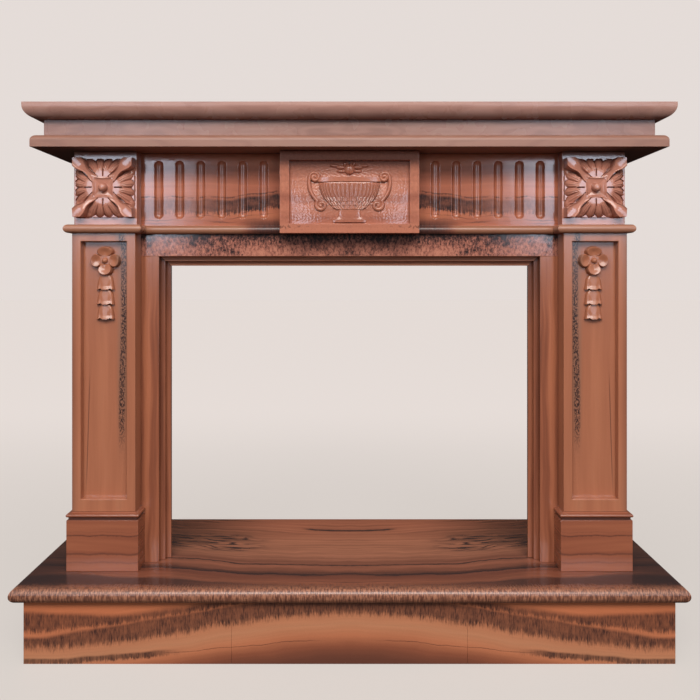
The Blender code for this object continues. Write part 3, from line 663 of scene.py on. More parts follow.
def plinth_stone():
    """Lying grain with thin wavy dark veins, and the dark joint under the cap."""
    tones = [
        (0.0, (0.165, 0.050, 0.028)), (0.4, (0.245, 0.078, 0.042)),
        (0.7, (0.300, 0.100, 0.052)), (1.0, (0.330, 0.130, 0.070)),
    ]
    stone, base = warm_stone("plinth_stone", False, tones, 1.6)
    wave = stone.times(stone.noise((stone.side, 16.0), 0.0, 2.0, 2.0), 0.016)
    height = stone.add(stone.z, wave)
    hair = stone.times(stone.noise((stone.side, 240.0), 0.0, 4.0, 2.0), 0.006)
    veins = stone.band(height, 0.2590, 0.2615, 0.0014, hair)
    for low, high, share in ((0.2150, 0.2190, 0.8), (0.1960, 0.1985, 0.5), (0.2680, 0.2690, 0.5)):
        veins = stone.most(veins, stone.times(stone.band(height, low, high, 0.002, hair), share))
    neck = float(box["plinth_cap_left"][0][2])
    joint = stone.times(stone.band(stone.z, neck, neck + 0.0060, 0.0004), 1.3)
    return stone.finish(stone.mix(stone.times(stone.most(veins, joint), 0.6), base, INK), 0.20)


def capital_stone():
    """Clear orange with faint lying grain; the astragal is browner and less polished."""
    tones = [(0.0, (0.335, 0.132, 0.090)), (0.5, (0.430, 0.178, 0.122)), (1.0, (0.50, 0.228, 0.165))]
    stone, base = warm_stone("capital_stone", False, tones)
    bead = stone.rise(stone.z, BEAD_TOP + BEAD_BLEND, BEAD_TOP - BEAD_BLEND)
    base = stone.mix(stone.times(bead, 0.85), base, (0.300, 0.131, 0.074))
    return stone.finish(base, stone.add(0.13, stone.times(bead, 0.15)))


PLINTH = plinth_stone()
CAPITAL = capital_stone()
print("plinth nodes", len(PLINTH.node_tree.nodes), "capital nodes", len(CAPITAL.node_tree.nodes))

# %% [markdown]
# Tablet and jambs. The tablet's flecks gather in its foot and across the bowl of its urn, so they
# are noise that is let through only within those bands. The jambs darken towards the opening.

# %% Tablet and jamb stones
def tablet_stone():
    """Orange-brown with lying streaks, dark flecks along the foot and over the bowl."""
    tones = [
        (0.0, (0.250, 0.080, 0.050)), (0.4, (0.375, 0.130, 0.080)),
        (0.7, (0.470, 0.172, 0.104)), (1.0, (0.490, 0.215, 0.135)),
    ]
    stone, base = warm_stone("tablet_stone", False, tones, 1.4)
    fleck = stone.noise((stone.side, 150.0), 0.0, (stone.z, 120.0), 4.0, 0.7)
    base = stone.shaded(base, stone.grey(stone.add(0.97, stone.times(fleck, 0.75))))
    outer = stone.add(0.35, stone.times(stone.rise(stone.side, 0.05, 0.15), 0.65))
    foot = stone.times(stone.band(stone.z, 0.9800, 0.9940, 0.006), stone.rise(fleck, -0.02, 0.12), outer)
    bowl = stone.times(stone.band(stone.z, 1.026, 1.062, 0.008), stone.rise(stone.side, 0.082, 0.062))
    bowl = stone.times(bowl, stone.rise(fleck, -0.10, 0.12))
    ribbed = stone.band(stone.z, 1.060, 1.090, 0.006)
    ribbed = stone.times(ribbed, stone.rise(stone.side, 0.080, 0.070), 0.30)
    dark = stone.most(stone.times(foot, 0.8), stone.times(bowl, 0.75), ribbed)
    return stone.finish(stone.mix(dark, base, DEEP_BROWN), 0.17)


def jamb_stone():
    """Upright grain that darkens in the steps of the moulding."""
    tones = [
        (0.0, DEEP_BROWN), (0.35, (0.245, 0.080, 0.042)), (0.6, (0.370, 0.130, 0.066)), (1.0, ORANGE),
    ]
    stone, base = warm_stone("jamb_stone", True, tones, 2.2)
    upper = stone.add(0.30, stone.times(stone.rise(stone.z, 0.70, 0.90), 0.60))
    inner = stone.times(stone.rise(stone.side, 0.4655, 0.4625), upper)
    return stone.finish(stone.mix(inner, base, DEEP_BROWN), 0.18)


TABLET = tablet_stone()
JAMB = jamb_stone()
print("tablet nodes", len(TABLET.node_tree.nodes), "jamb nodes", len(JAMB.node_tree.nodes))

# %% [markdown]
# Friezes. A thin dark line crosses each panel, with a frayed dark band close below it, both darker
# near the tablet. They are bands of a height that climbs towards the middle, like the layers of a
# block that was sawn a little askew.

# %% Frieze stone
FRIEZE_Y = float(box["jamb_left"][0][1])


def frieze_stone():
    """Red-brown; a thin dark line and a frayed dark band that rise and deepen towards the tablet."""
    tones = [
        (0.00, (0.190, 0.062, 0.040)), (0.35, (0.310, 0.098, 0.055)),
        (0.65, (0.410, 0.132, 0.070)), (1.00, ORANGE),
    ]
    stone, base = warm_stone("frieze_stone", False, tones, 1.2)
    hair = stone.noise((stone.side, 300.0), 0.0, (stone.z, 60.0), 4.0, 0.65)
    paler = stone.add(1.0, stone.times(stone.rise(stone.z, 1.060, 1.088), 0.40))
    base = stone.shaded(base, stone.grey(paler))
    wobble = stone.times(stone.noise((stone.side, 22.0), 0.0, 1.0, 3.0), 0.014)
    climb = stone.times(stone.rise(stone.side, 0.31, 0.16), 0.014)
    height = stone.add(stone.z, stone.times(climb, -1.0), wobble)
    near = stone.rise(stone.side, 0.40, 0.24)
    far = stone.rise(stone.side, 0.43, 0.50)
    cloud = stone.noise((stone.side, 34.0), 2.0, (stone.z, 70.0), 3.0, 0.6)
    line = stone.band(height, 1.0610, 1.0650, 0.0014, stone.times(hair, 0.008))
    line = stone.times(line, stone.rise(stone.add(cloud, stone.times(near, 0.10)), -0.10, 0.10), 0.75)
    fray = stone.add(stone.times(hair, 0.050), stone.times(cloud, 0.040))
    band = stone.band(height, 1.024, 1.058, 0.005, fray)
    cloudy = stone.add(0.92, stone.times(cloud, 1.1))
    band = stone.times(band, stone.add(0.58, stone.times(near, 0.38)), cloudy)
    patch = stone.times(stone.band(height, 1.012, 1.050, 0.010, stone.times(hair, 0.030)), far, 0.6)
    corner = stone.rise(stone.add(stone.z, wobble), 1.022, 0.990)
    corner = stone.times(stone.rise(stone.side, 0.29, 0.21), corner)
    streaks = stone.noise((stone.side, 7.0), 0.0, (height, 230.0), 3.0, 0.6)
    brown = stone.times(stone.rise(streaks, 0.0, 0.22), stone.rise(stone.z, 1.045, 1.020), 0.7)
    dark = stone.most(line, band, patch)
    dark = stone.most(dark, stone.times(corner, 0.92), brown)
    bead = stone.rise(stone.z, BEAD_TOP + BEAD_BLEND, BEAD_TOP - BEAD_BLEND)
    clear = stone.times(bead, stone.rise(stone.add(stone.side, stone.times(stone.z, 0.5)), 0.730, 0.760))
    colour = stone.mix(stone.times(dark, stone.add(0.90, hair)), base, INK)
    colour = stone.mix(stone.times(clear, 0.88), colour, (0.280, 0.122, 0.069))
    flute = stone.rise(stone.y, FRIEZE_Y + 0.0015, FRIEZE_Y + 0.0040)
    rough = stone.add(0.14, stone.times(bead, 0.18), stone.times(flute, 0.08))
    return stone.finish(colour, rough, wave=0.00012)


FRIEZE = frieze_stone()
print("frieze nodes", len(FRIEZE.node_tree.nodes), "front of the panels at y", round(FRIEZE_Y, 4))

# %% [markdown]
# Dark header and grey cornice. The header is cut where dark hairs fill the stone, and shows as a
# speckled brown-black. The cornice is the palest and greyest part, with faint long ovals.

# %% Header and cornice stones
def header_stone():
    """Orange-brown full of upright dark hairs, thickest at the top; the moulding is clear brown."""
    stone = Stone("header_stone")
    curl = stone.times(stone.noise((stone.side, 90.0), 5.0, (stone.z, 90.0), 2.0), 0.007)
    bent = stone.times(stone.add(stone.side, curl), 230.0)
    hair = stone.noise(bent, (stone.y, 60.0), (stone.add(stone.z, curl), 140.0), 4.0, 0.7)
    wide = stone.noise((stone.side, 10.0), 0.0, (stone.z, 20.0), 2.0)
    top = stone.times(stone.rise(stone.z, 0.935, 0.972), 0.22)
    value = stone.add(0.54, stone.times(hair, 1.7), stone.times(wide, 0.9), stone.times(top, -1.0))
    flat = stone.ramp(value, [
        (0.24, INK), (0.38, (0.130, 0.052, 0.040)),
        (0.56, (0.310, 0.115, 0.080)), (0.80, (0.470, 0.190, 0.125)),
    ])
    grain = stone.noise((stone.side, 6.0), (stone.y, 60.0), (stone.z, 160.0), 3.0)
    clear = stone.ramp(stone.add(0.5, grain), [(0.2, (0.34, 0.115, 0.062)), (0.8, (0.50, 0.215, 0.130))])
    mould = stone.rise(stone.z, 0.9215, 0.9185)
    return stone.finish(stone.mix(mould, flat, clear), 0.13, wave=0.00012)


def cornice_stone():
    """Greyish pink-brown with faint layers that close into long ovals, in another tone per course."""
    stone = Stone("cornice_stone")
    height = stone.add(stone.z, stone.times(stone.y, 0.6))
    drift = stone.noise((stone.side, 3.5), 0.0, (height, 16.0), 2.0)
    rings = stone.math("SINE", stone.times(drift, 60.0))
    tone = stone.add(0.5, stone.times(rings, 0.10), stone.times(drift, 0.8))
    base = stone.ramp(tone, [(0.1, (0.21, 0.105, 0.080)), (0.5, (0.31, 0.165, 0.125)), (0.9, PINK_GREY)])
    base = stone.shaded(base, layer_shade(stone, stone.side, height, 0.90, 1.10))
    fascia_low, fascia_high = (float(corner[2]) for corner in box["fascia"])
    over_bed = stone.rise(stone.z, fascia_low - 0.001, fascia_low + 0.001)
    over_fascia = stone.rise(stone.z, fascia_high - 0.001, fascia_high + 0.001)
    course = stone.mix(over_bed, (0.82, 0.70, 0.62), (0.90, 0.88, 0.91))
    course = stone.mix(over_fascia, course, (1.20, 1.20, 1.26))
    rough = stone.add(0.42, stone.times(over_bed, -0.15))
    return stone.finish(stone.shaded(base, course), rough)


HEADER = header_stone()
CORNICE = cornice_stone()
print("stones", len(bpy.data.materials))

# %% [markdown]
# Plain blocks: riser panels, fascia and side panels. A scaled cube could stand for each, but its
# worn arrises would be stretched with it. Here the points are the real sizes, taken from the node.

# %% Plain blocks
FINE_ARRIS = 0.0006
JOINT_ARRIS = 0.0003


def plain_block(node, material, arris=FINE_ARRIS):
    """A squared block that fills its node's box."""
    low, high = box[node]
    plan = outline(low[0], high[0], low[1], high[1])
    rings = np.array([[(x, y, z) for x, y in plan] for z in (low[2], high[2])])
    points, faces = tube(rings)
    return finish_piece(node + "_stone", points, faces, material, [node], arris)


for part in ("front_left", "front_centre", "front_right", "side_left", "side_right"):
    plain_block("riser_" + part, RISER, JOINT_ARRIS)
for word, side in SIDES:
    plain_block("side_panel_" + word, SHAFT)
plain_block("fascia", CORNICE)

# %% [markdown]
# Moulded courses run round the front and both ends. A curve with a bevel could carry a profile
# along them, but here the plan is let out by the profile at each height, so the corners mitre by
# themselves and every height is exact.

# %% Hearth slab and cornice
def moulded_course(node, profile, material, arris=FINE_ARRIS):
    """A course from a profile of (out, height above its underside)."""
    low, high = box[node]

    def plan(out):
        """The box in plan, let out by out."""
        return outline(low[0], high[0], low[1], high[1], out)

    lifted = [(out, low[2] + up) for out, up in profile]
    points, faces = tube(rings_of(lifted, plan))
    return finish_piece(node + "_stone", points, faces, material, [node], arris)


def height_of(node):
    """Height of a node's box."""
    return float(box[node][1][2] - box[node][0][2])


radius = height_of("hearth_slab") / 2
nose = [(out - radius, radius + up) for out, up in arc(radius, -90, 90, 40)]
moulded_course("hearth_slab", nose, HEARTH, 0.0)

BED_ROUND = 0.013
top = height_of("bed_mould")
bed = [(0.0, 0.0)] + [(o - BED_ROUND, top - BED_ROUND + up) for o, up in arc(BED_ROUND, 0, 90, 20)]
moulded_course("bed_mould", bed, CORNICE)

SHELF_FILLET = 0.0066
ovolo = height_of("mantel_shelf") - SHELF_FILLET
shelf = [(o - ovolo, ovolo + up) for o, up in arc(ovolo, -90, 0, 28)] + [(0.0, ovolo + SHELF_FILLET)]
moulded_course("mantel_shelf", shelf, CORNICE)

# %% [markdown]
# Plinths and their caps stand partly in front of the jambs, so behind the frieze line their
# inner side steps back to the shaft's. A cap is a stack of rings: neck, nose and slope are one
# profile, and each ring is the same plan let out by another amount.

# %% Plinths
FACADE_BACK = float(box["shaft_left"][1][1])
SHAFT_LOW, SHAFT_HIGH = box["shaft_right"]
SHAFT_HALF = float(SHAFT_HIGH[0] - SHAFT_LOW[0]) / 2
PILASTER_X = float(SHAFT_HIGH[0] + SHAFT_LOW[0]) / 2
STEP_GAP = 0.0003


def pilaster_plan(side, half, front, step_y):
    """Pilaster in plan with its step for the jamb; side is -1 for the left."""
    inner = -SHAFT_HALF
    plan = [
        (half, FACADE_BACK), (half, front), (-half, front),
        (-half, step_y), (inner, step_y), (inner, FACADE_BACK),
    ]
    placed = [(side * (PILASTER_X + x), y) for x, y in plan]
    return placed if side < 0 else placed[::-1]


NECK_HEIGHT = 0.0065
NECK_DEPTH = 0.0038
CAP_RADIUS = 0.0042
CAP_PROUD = 0.0012
# How far the slope ends outside the shaft, and how far it hangs below a straight line
CAP_REST = 0.0004
SLOPE_SAG = 0.0016


def plinth_pieces(word, side):
    """Block, and cap with sunk neck, half-round nose and a slope back to the shaft."""
    low, high = box["plinth_" + word]
    half = float(high[0] - low[0]) / 2
    front = float(low[1])
    step_y = FRIEZE_Y - STEP_GAP
    plan = pilaster_plan(side, half, front, step_y)
    points, faces = tube(np.array([[(x, y, z) for x, y in plan] for z in (low[2], high[2])]))
    block = "plinth_" + word
    finish_piece(block + "_stone", points, faces, PLINTH, [block], FINE_ARRIS)

    cap = "plinth_cap_" + word
    base = float(box[cap][0][2])
    top = height_of(cap)
    margin = half - SHAFT_HALF
    step = float(SHAFT_LOW[1]) - front
    nose = arc(CAP_RADIUS, -90, 40, 14)
    profile = [(-NECK_DEPTH, -NECK_DEPTH, 0.0), (-NECK_DEPTH, -NECK_DEPTH, NECK_HEIGHT)]
    for out, up in nose:
        out = out + CAP_PROUD - CAP_RADIUS
        profile.append((out, out, NECK_HEIGHT + CAP_RADIUS + up))
    last_out, last_front, last_z = profile[-1]
    for share in np.linspace(0.2, 1.0, 8):
        sag = SLOPE_SAG * math.sin(math.pi * share)
        out = last_out + (-margin + CAP_REST - last_out) * share
        forward = last_front + (-step - last_front) * share
        profile.append((out - sag, forward - sag, last_z + (top - last_z) * share - sag * 0.3))
    rings = np.array([
        [(x, y, base + up) for x, y in pilaster_plan(side, half + out, front - forward, step_y)]
        for out, forward, up in profile
    ])
    points, faces = tube(rings)
    finish_piece(cap + "_stone", points, faces, PLINTH, [cap])


for word, side in SIDES:
    plinth_pieces(word, side)

# %% [markdown]
# Jambs and header share one moulding of two coved steps, mitred where they meet. Outside the
# moulding the joint runs level: the header's flat rests on the tops of the jambs.

# %% Jambs and header
OPENING_X = float(box["jamb_right"][0][0])
OPENING_TOP = float(box["architrave"][0][2])
MOULD_STEP = 0.01125
STEP_DEPTHS = (0.034, 0.020)
COVE = 0.005
SLAB = FACADE_BACK - FRIEZE_Y
MITRE = 2 * MOULD_STEP


def moulding_section():
    """(offset from the opening, depth behind the flat) of the moulding, opening first."""
    points = [(0.0, STEP_DEPTHS[0])]
    for step, depth in enumerate(STEP_DEPTHS, 1):
        centre = (step * MOULD_STEP - COVE, depth - COVE)
        points += [(centre[0] + o, centre[1] + d) for o, d in arc(COVE, 90, 0, 10)]
        if step == 1:
            points.append((MOULD_STEP, STEP_DEPTHS[1]))
    return points + [(MITRE, 0.0)]


def header_piece():
    """Header across the opening; each end has its mitre, its square end and the underside between."""
    reach, top = float(box["architrave"][1][0]), float(box["architrave"][1][2])
    step_z = OPENING_TOP + MITRE
    inner = moulding_section() + [(MITRE, SLAB), (0.0, SLAB)]
    outer = [(0.0, step_z), (0.0, top), (SLAB, top), (SLAB, step_z)]
    ends = []
    polygons = []
    for side in (-1, 1):
        mitre = [(side * (OPENING_X + o), FRIEZE_Y + d, OPENING_TOP + o) for o, d in inner]
        square = [(side * reach, FRIEZE_Y + d, z) for d, z in outer]
        polygons += [mitre, square, [mitre[-3], square[0], square[3], mitre[-2]]]
        ends.append((mitre, square))
    (left, west), (right, east) = ends
    for i in range(len(inner) - 3):
        polygons.append([left[i], left[i + 1], right[i + 1], right[i]])
    polygons.append([left[-1], left[0], right[0], right[-1]])
    polygons.append([west[1], east[1], east[2], west[2]])
    polygons.append([left[-3], west[0], west[1], east[1], east[0], right[-3]])
    polygons.append([left[-1], left[-2], west[3], west[2], east[2], east[3], right[-2], right[-1]])
    points, faces = skin(polygons)
    return finish_piece("architrave_stone", points, faces, HEADER, ["architrave"], FINE_ARRIS)


def jamb_piece(word, side):
    """Upright of the opening, with a mitred and a level part at its top."""
    low, high = box["jamb_" + word]
    width = float(high[0] - low[0])
    foot = float(low[2])
    top = OPENING_TOP - STEP_GAP
    mould = moulding_section()
    section = mould + [(width, 0.0), (width, SLAB), (MITRE, SLAB), (0.0, SLAB)]
    lower = [(side * (OPENING_X + o), FRIEZE_Y + d, foot) for o, d in section]
    upper = [(side * (OPENING_X + o), FRIEZE_Y + d, top + min(o, MITRE)) for o, d in section]
    polygons = [[lower[i - 1], lower[i], upper[i], upper[i - 1]] for i in range(len(section))]
    polygons += [lower, upper[:len(mould)] + upper[-2:], upper[len(mould) - 1:-1]]
    points, faces = skin(polygons)
    node = "jamb_" + word
    return finish_piece(node + "_stone", points, faces, JAMB, [node], FINE_ARRIS)


header_piece()
for word, side in SIDES:
    jamb_piece(word, side)

# %% [markdown]
# Rosette. A square flower cut from the capital's block: four leaves with rolled rims run to the
# corners, side palmettes of four ridged lobes fill between them, and a ball sits in a dished
# square. It is the same in eight directions, so one height formula in folded coordinates does it.

# %% Rosette
ROSETTE_MARGIN = 0.0045
ROSETTE_RELIEF = 0.037
ROSETTE_CELLS = 118
LOBE_ANGLE = math.radians(22.5)


def rosette_height(x, z, radius):
    """Height of the rosette about its centre; far and near are the larger and smaller of |x|, |z|.

    Corner leaf: a channel with rolled rims, narrow at the cushion and spreading to its tip.
    Palmette: fans of ridges about a point inside the cushion, falling back towards their tips.
    """
    a = np.abs(x) / radius
    b = np.abs(z) / radius
    far = np.maximum(a, b)
    near = np.minimum(a, b)

    # Corner leaf
    along = (a + b) / math.sqrt(2.0)
    across = np.abs(a - b) / math.sqrt(2.0)
    width = 0.098 + 0.05 * smooth_step(0.72, 0.42, along) + 0.125 * smooth_step(0.76, 1.12, along)
    width = width * ball(np.clip(along - 1.21, 0.0, 1.0) / 0.215)
    share = across / np.maximum(width, 1e-4)
    rim = 0.10 * np.exp(-((share - 0.86) / 0.10) ** 2) * smooth_step(0.40, 0.60, along)
    hollow = 0.06 * np.clip(share, 0.0, 1.0) ** 3
    leaf = 0.62 + 0.20 * smooth_step(0.45, 1.08, along)
    leaf = (leaf + hollow + rim) * domed(share, 12.0)
    leaf = np.where((share < 1.0) & (along > 0.40), leaf, 0.0)

    # Palmettes and the ground between them
    apex = 0.20
    angle = np.arctan2(near, np.maximum(far - apex, 1e-6))
    reach = np.hypot(far - apex, near)
    ridge = np.abs(np.sin(math.pi * angle / LOBE_ANGLE))
    thread = np.abs(np.sin(3.0 * math.pi * angle / LOBE_ANGLE))
    end = (1.0 - apex) / np.cos(angle) * (1.0 - 0.13 * (1.0 - ridge ** 0.8))
    groove = 0.16 * (1.0 - ridge ** 0.5) * smooth_step(0.38, 0.58, reach)
    groove = groove + 0.045 * (1.0 - thread ** 0.6) * smooth_step(0.34, 0.46, reach)
    slit = 0.30 * np.exp(-(near / 0.016) ** 4) * smooth_step(0.37, 0.39, far) * smooth_step(0.64, 0.62, far)
    lobe = 0.63 - 0.31 * np.clip((reach - 0.42) / 0.40, 0.0, 1.0) ** 1.6
    lobe = lobe - groove - slit
    edging = 0.09 * np.exp(-((share - 1.25) / 0.10) ** 2) * smooth_step(1.15, 0.85, along)
    edging = edging * smooth_step(0.50, 0.62, along)
    lobe = (lobe + edging) * domed(reach / end, 9.0)
    limit = 0.335 + 0.55 * near ** 2
    inner = (far > limit) & (reach < end) & (angle < 2.0 * LOBE_ANGLE)
    floor = 0.25 * ((far > limit) & (along < 1.0))
    palmette = np.where(inner, lobe, floor)

    # Dished cushion and ball
    cushion = 0.50 + 0.13 * (far / limit) ** 2 + 0.04 * np.exp(-((far / limit - 0.90) / 0.07) ** 2)
    centre = np.where(far <= limit, cushion, 0.0)
    spread = np.hypot(a, b) / 0.15
    boss = np.where(spread < 1.0, 0.60 + 0.34 * domed(spread, 3.6), 0.0)
    shape = np.maximum.reduce([leaf, palmette, centre, boss])
    return np.where(far < 0.999, ROSETTE_RELIEF * shape, 0.0)


print("ball stands", round(float(rosette_height(np.zeros(1), np.zeros(1), 1.0)[0]), 4), "proud")

# %% [markdown]
# Capital. The block with its rosette stands on a half-round astragal, whose inner return is
# mitred where it meets the frieze's bead. Both are cut from one stone, so they are one piece.

# %% Capitals
ASTRAGAL_FLAT = 0.0067
ASTRAGAL = 0.020
BLOCK_PROUD = 0.0386
BLOCK_FOOT = 0.001
ARRIS = 0.0009


def capital_piece(word, side):
    """Block with its rosette, on the astragal whose inner return is mitred at the frieze."""
    low, high = box["capital_" + word]
    base = float(low[2])
    top = float(high[2])
    centre_x = side * PILASTER_X
    block_z = base + ASTRAGAL
    size = SHAFT_HALF - ROSETTE_MARGIN
    centre_z = block_z + (top + STEP_GAP - block_z) / 2
    edge = ARRIS / 4
    outer = SHAFT_HALF - ARRIS
    x_stops = [-SHAFT_HALF, -outer, -outer + edge, -size, size, outer - edge, outer, SHAFT_HALF]
    z_stops = [block_z - BLOCK_FOOT, centre_z - size, centre_z + size, top - ARRIS - edge, top - ARRIS, top]
    xs = centre_x + lines(x_stops, [edge, edge, 1.0, size / ROSETTE_CELLS, 1.0, edge, edge])
    zs = lines(z_stops, [1.0, size / ROSETTE_CELLS, 1.0, edge, edge])

    def height(x, z):
        """Rosette, less the fall of the block's arrises."""
        drop = edge_drop(x, z, centre_x - SHAFT_HALF, centre_x + SHAFT_HALF, base, top, ARRIS)
        return rosette_height(x - centre_x, z - centre_z, size) - drop

    points, faces = carved_block(xs, zs, FRIEZE_Y - BLOCK_PROUD, FACADE_BACK, height)

    shaft_y = float(SHAFT_LOW[1])
    rings = []
    for out, up in arc(ASTRAGAL / 2, -90, 90, 24):
        half = SHAFT_HALF + ASTRAGAL_FLAT + out
        front = shaft_y - ASTRAGAL_FLAT - out
        plan = pilaster_plan(side, half, front, FRIEZE_Y)
        mitre = 3 if side < 0 else 2
        plan[mitre] = (plan[mitre][0], FRIEZE_Y - ASTRAGAL_FLAT - out)
        rings.append([(x, y, base + ASTRAGAL / 2 + up) for x, y in plan])
    ring_points, ring_faces = tube(np.array(rings))
    shift = len(points)
    faces += [[index + shift for index in face] for face in ring_faces]
    points = np.concatenate([points, ring_points])
    node = "capital_" + word
    return finish_piece(node + "_stone", points, faces, CAPITAL, [node])


for word, side in SIDES:
    capital_piece(word, side)

# %% [markdown]
# Flower and husks. Each shaft's sunk panel carries a flower of four cupped petals over three
# husks, cut from the floor of the panel almost up to the face. A petal is an ellipse that is
# hollow within a raised rim; a husk is a bell whose width depends on the distance from its top.

# %% Flower and husk
FLOWER_RADIUS = 0.0355
FLOWER_DROP = 0.0456
FLOWER_RELIEF = 0.019
HUSK_HEIGHT = 0.0352
HUSK_WIDTH = 0.043
HUSK_RELIEF = 0.014
HUSK_START = 0.98
HUSKS = 3


def flower_height(x, z):
    """Four hollow petals with raised rims about a ball; lengths are shares of the radius.

    Each petal is an ellipse (centre, half sizes, height) whose share is 1 at its edge; it falls
    off towards the flower's middle.
    """
    u = x / FLOWER_RADIUS
    w = z / FLOWER_RADIUS
    out = np.hypot(u, w)
    petals = [
        (0.0, 0.61, 0.56, 0.37, 0.86),
        (-0.61, 0.0, 0.38, 0.47, 0.84),
        (0.61, 0.0, 0.38, 0.47, 0.84),
        (0.0, -0.60, 0.48, 0.41, 0.98),
    ]
    shape = 0.52 * domed(out / 0.58, 8.0)
    for centre_u, centre_w, half_u, half_w, top in petals:
        share = np.hypot((u - centre_u) / half_u, (w - centre_w) / half_w)
        cup = top - 0.34 * smooth_step(0.95, 0.20, out) - 0.13 * np.exp(-(share / 0.55) ** 2)
        cup = cup + 0.07 * np.exp(-((share - 0.84) / 0.09) ** 2)
        shape = np.maximum(shape, np.where(share < 1.0, cup * domed(share, 9.0), 0.0))
    reach = out / 0.20
    boss = np.where(reach < 1.0, 0.52 + 0.46 * ball(np.minimum(reach, 1.0)), 0.0)
    return FLOWER_RELIEF * np.maximum(shape, boss)


def husk_height(x, z):
    """One husk below z = 0: a round-shouldered bell with two soft grooves and a three-lobed edge."""
    down = -z / HUSK_HEIGHT
    early = np.clip(down / 0.75, 0.0, 1.0)
    shoulder = 0.50 * np.sqrt(1.0 - (1.0 - early) ** 2)
    half = HUSK_WIDTH / 2 * (0.42 + shoulder + 0.08 * smooth_step(0.65, 1.0, down))
    share = np.abs(x) / half
    notch = np.exp(-((share - 0.55) / 0.18) ** 2)
    fall = 1.0 - 0.09 * notch - 0.02 * smooth_step(0.60, 1.0, share)
    inside = (share < 1.0) & (down > 0.0) & (down < fall)
    lip = 0.10 * smooth_step(0.70, 0.95, down)
    body = (0.52 + 0.38 * np.clip(down, 0.0, 1.0) + lip) * domed(share, 5.0)
    body = body - 0.09 * notch * smooth_step(0.25, 0.80, down)
    return np.where(inside, HUSK_RELIEF * body, 0.0)


print("flower and husks take", round(2 * FLOWER_RADIUS + HUSKS * HUSK_HEIGHT, 4), "of the shaft")

# %% [markdown]
# Shafts. The front is one grid of heights: the face, the fall into the sunk panel, its floor and
# the carving on it. So the carving grows out of the panel without a seam, as it does in stone.

# %% Shafts
PANEL_SIDE = 0.0205
PANEL_TOP = 0.0194
PANEL_BOTTOM = 0.0287
PANEL_DEPTH = 0.021
PANEL_LIP = 0.0008
EDGE_FALL = 0.0008


def shaft_piece(word, side):
    """The whole shaft: plain face with a sunk, carved panel."""
    low, high = box["shaft_" + word]
    base, top = float(low[2]), float(high[2])
    nominal_top = top + STEP_GAP
    centre_x = side * PILASTER_X
    panel = SHAFT_HALF - PANEL_SIDE
    floor_low = base + PANEL_BOTTOM
    floor_high = nominal_top - PANEL_TOP
    flower_z = floor_high - FLOWER_DROP
    husk_z = flower_z - FLOWER_RADIUS * HUSK_START
    carve_low = flower_z - FLOWER_RADIUS - HUSKS * HUSK_HEIGHT
    edge = ARRIS / 4
    wall = EDGE_FALL / 3
    fine = 0.00055

    def height(x, z):
        """Panel's floor with its carving inside, a worn lip round it, and the shaft's arrises."""
        local = x - centre_x
        inset = np.minimum.reduce([panel - np.abs(local), z - floor_low, floor_high - z])
        sunk = smooth_step(0.0, EDGE_FALL, inset)
        lip = PANEL_LIP * smooth_step(-ARRIS, 0.0, inset)
        carving = flower_height(local, z - flower_z)
        for i in range(HUSKS):
            carving = np.maximum(carving, husk_height(local, z - husk_z + i * HUSK_HEIGHT))
        drop = edge_drop(local, z, -SHAFT_HALF, SHAFT_HALF, base, top, ARRIS)
        return sunk * (carving - PANEL_DEPTH + PANEL_LIP) - lip - drop

    half = SHAFT_HALF
    x_stops = [-half, -half + ARRIS, -half + ARRIS + edge]
    x_stops += [-panel - ARRIS - edge, -panel - ARRIS, -panel]
    x_stops += [-panel + EDGE_FALL, -panel + EDGE_FALL + edge, -FLOWER_RADIUS]
    x_steps = [edge, edge, 1.0, edge, edge, wall, edge, 1.0, fine]
    x_stops = x_stops + [-x for x in x_stops[::-1]]
    x_steps = x_steps[:-1] + [fine] + x_steps[:-1][::-1]
    z_stops = [base, base + ARRIS, base + ARRIS + edge]
    z_stops += [floor_low - ARRIS - edge, floor_low - ARRIS, floor_low]
    z_stops += [floor_low + EDGE_FALL, floor_low + EDGE_FALL + edge, carve_low, flower_z + FLOWER_RADIUS]
    z_stops += [floor_high - EDGE_FALL - edge, floor_high - EDGE_FALL, floor_high, floor_high + ARRIS]
    z_stops += [floor_high + ARRIS + edge, top - ARRIS - edge, top - ARRIS, top]
    z_steps = [edge, edge, 1.0, edge, edge, wall, edge, 0.08, fine, 1.0]
    z_steps += [edge, wall, edge, edge, 1.0, edge, edge]
    xs = centre_x + lines(x_stops, x_steps)
    zs = lines(z_stops, z_steps)
    points, faces = carved_block(xs, zs, float(SHAFT_LOW[1]), FACADE_BACK, height)
    node = "shaft_" + word
    return finish_piece(node + "_stone", points, faces, SHAFT, [node])


for word, side in SIDES:
    shaft_piece(word, side)

# %% [markdown]
# Frieze panels: six flutes with round ends, and a bead along the foot in the same stone. A flute
# is a half-round groove, so its depth follows a circle of the distance to its centre line.

# %% Friezes
FLUTES = 6
FLUTE_PITCH = 0.051
FLUTE_WIDTH = 0.021
FLUTE_LENGTH = 0.140
FLUTE_DEPTH = 0.008
LIP_DEPTH = 0.0003


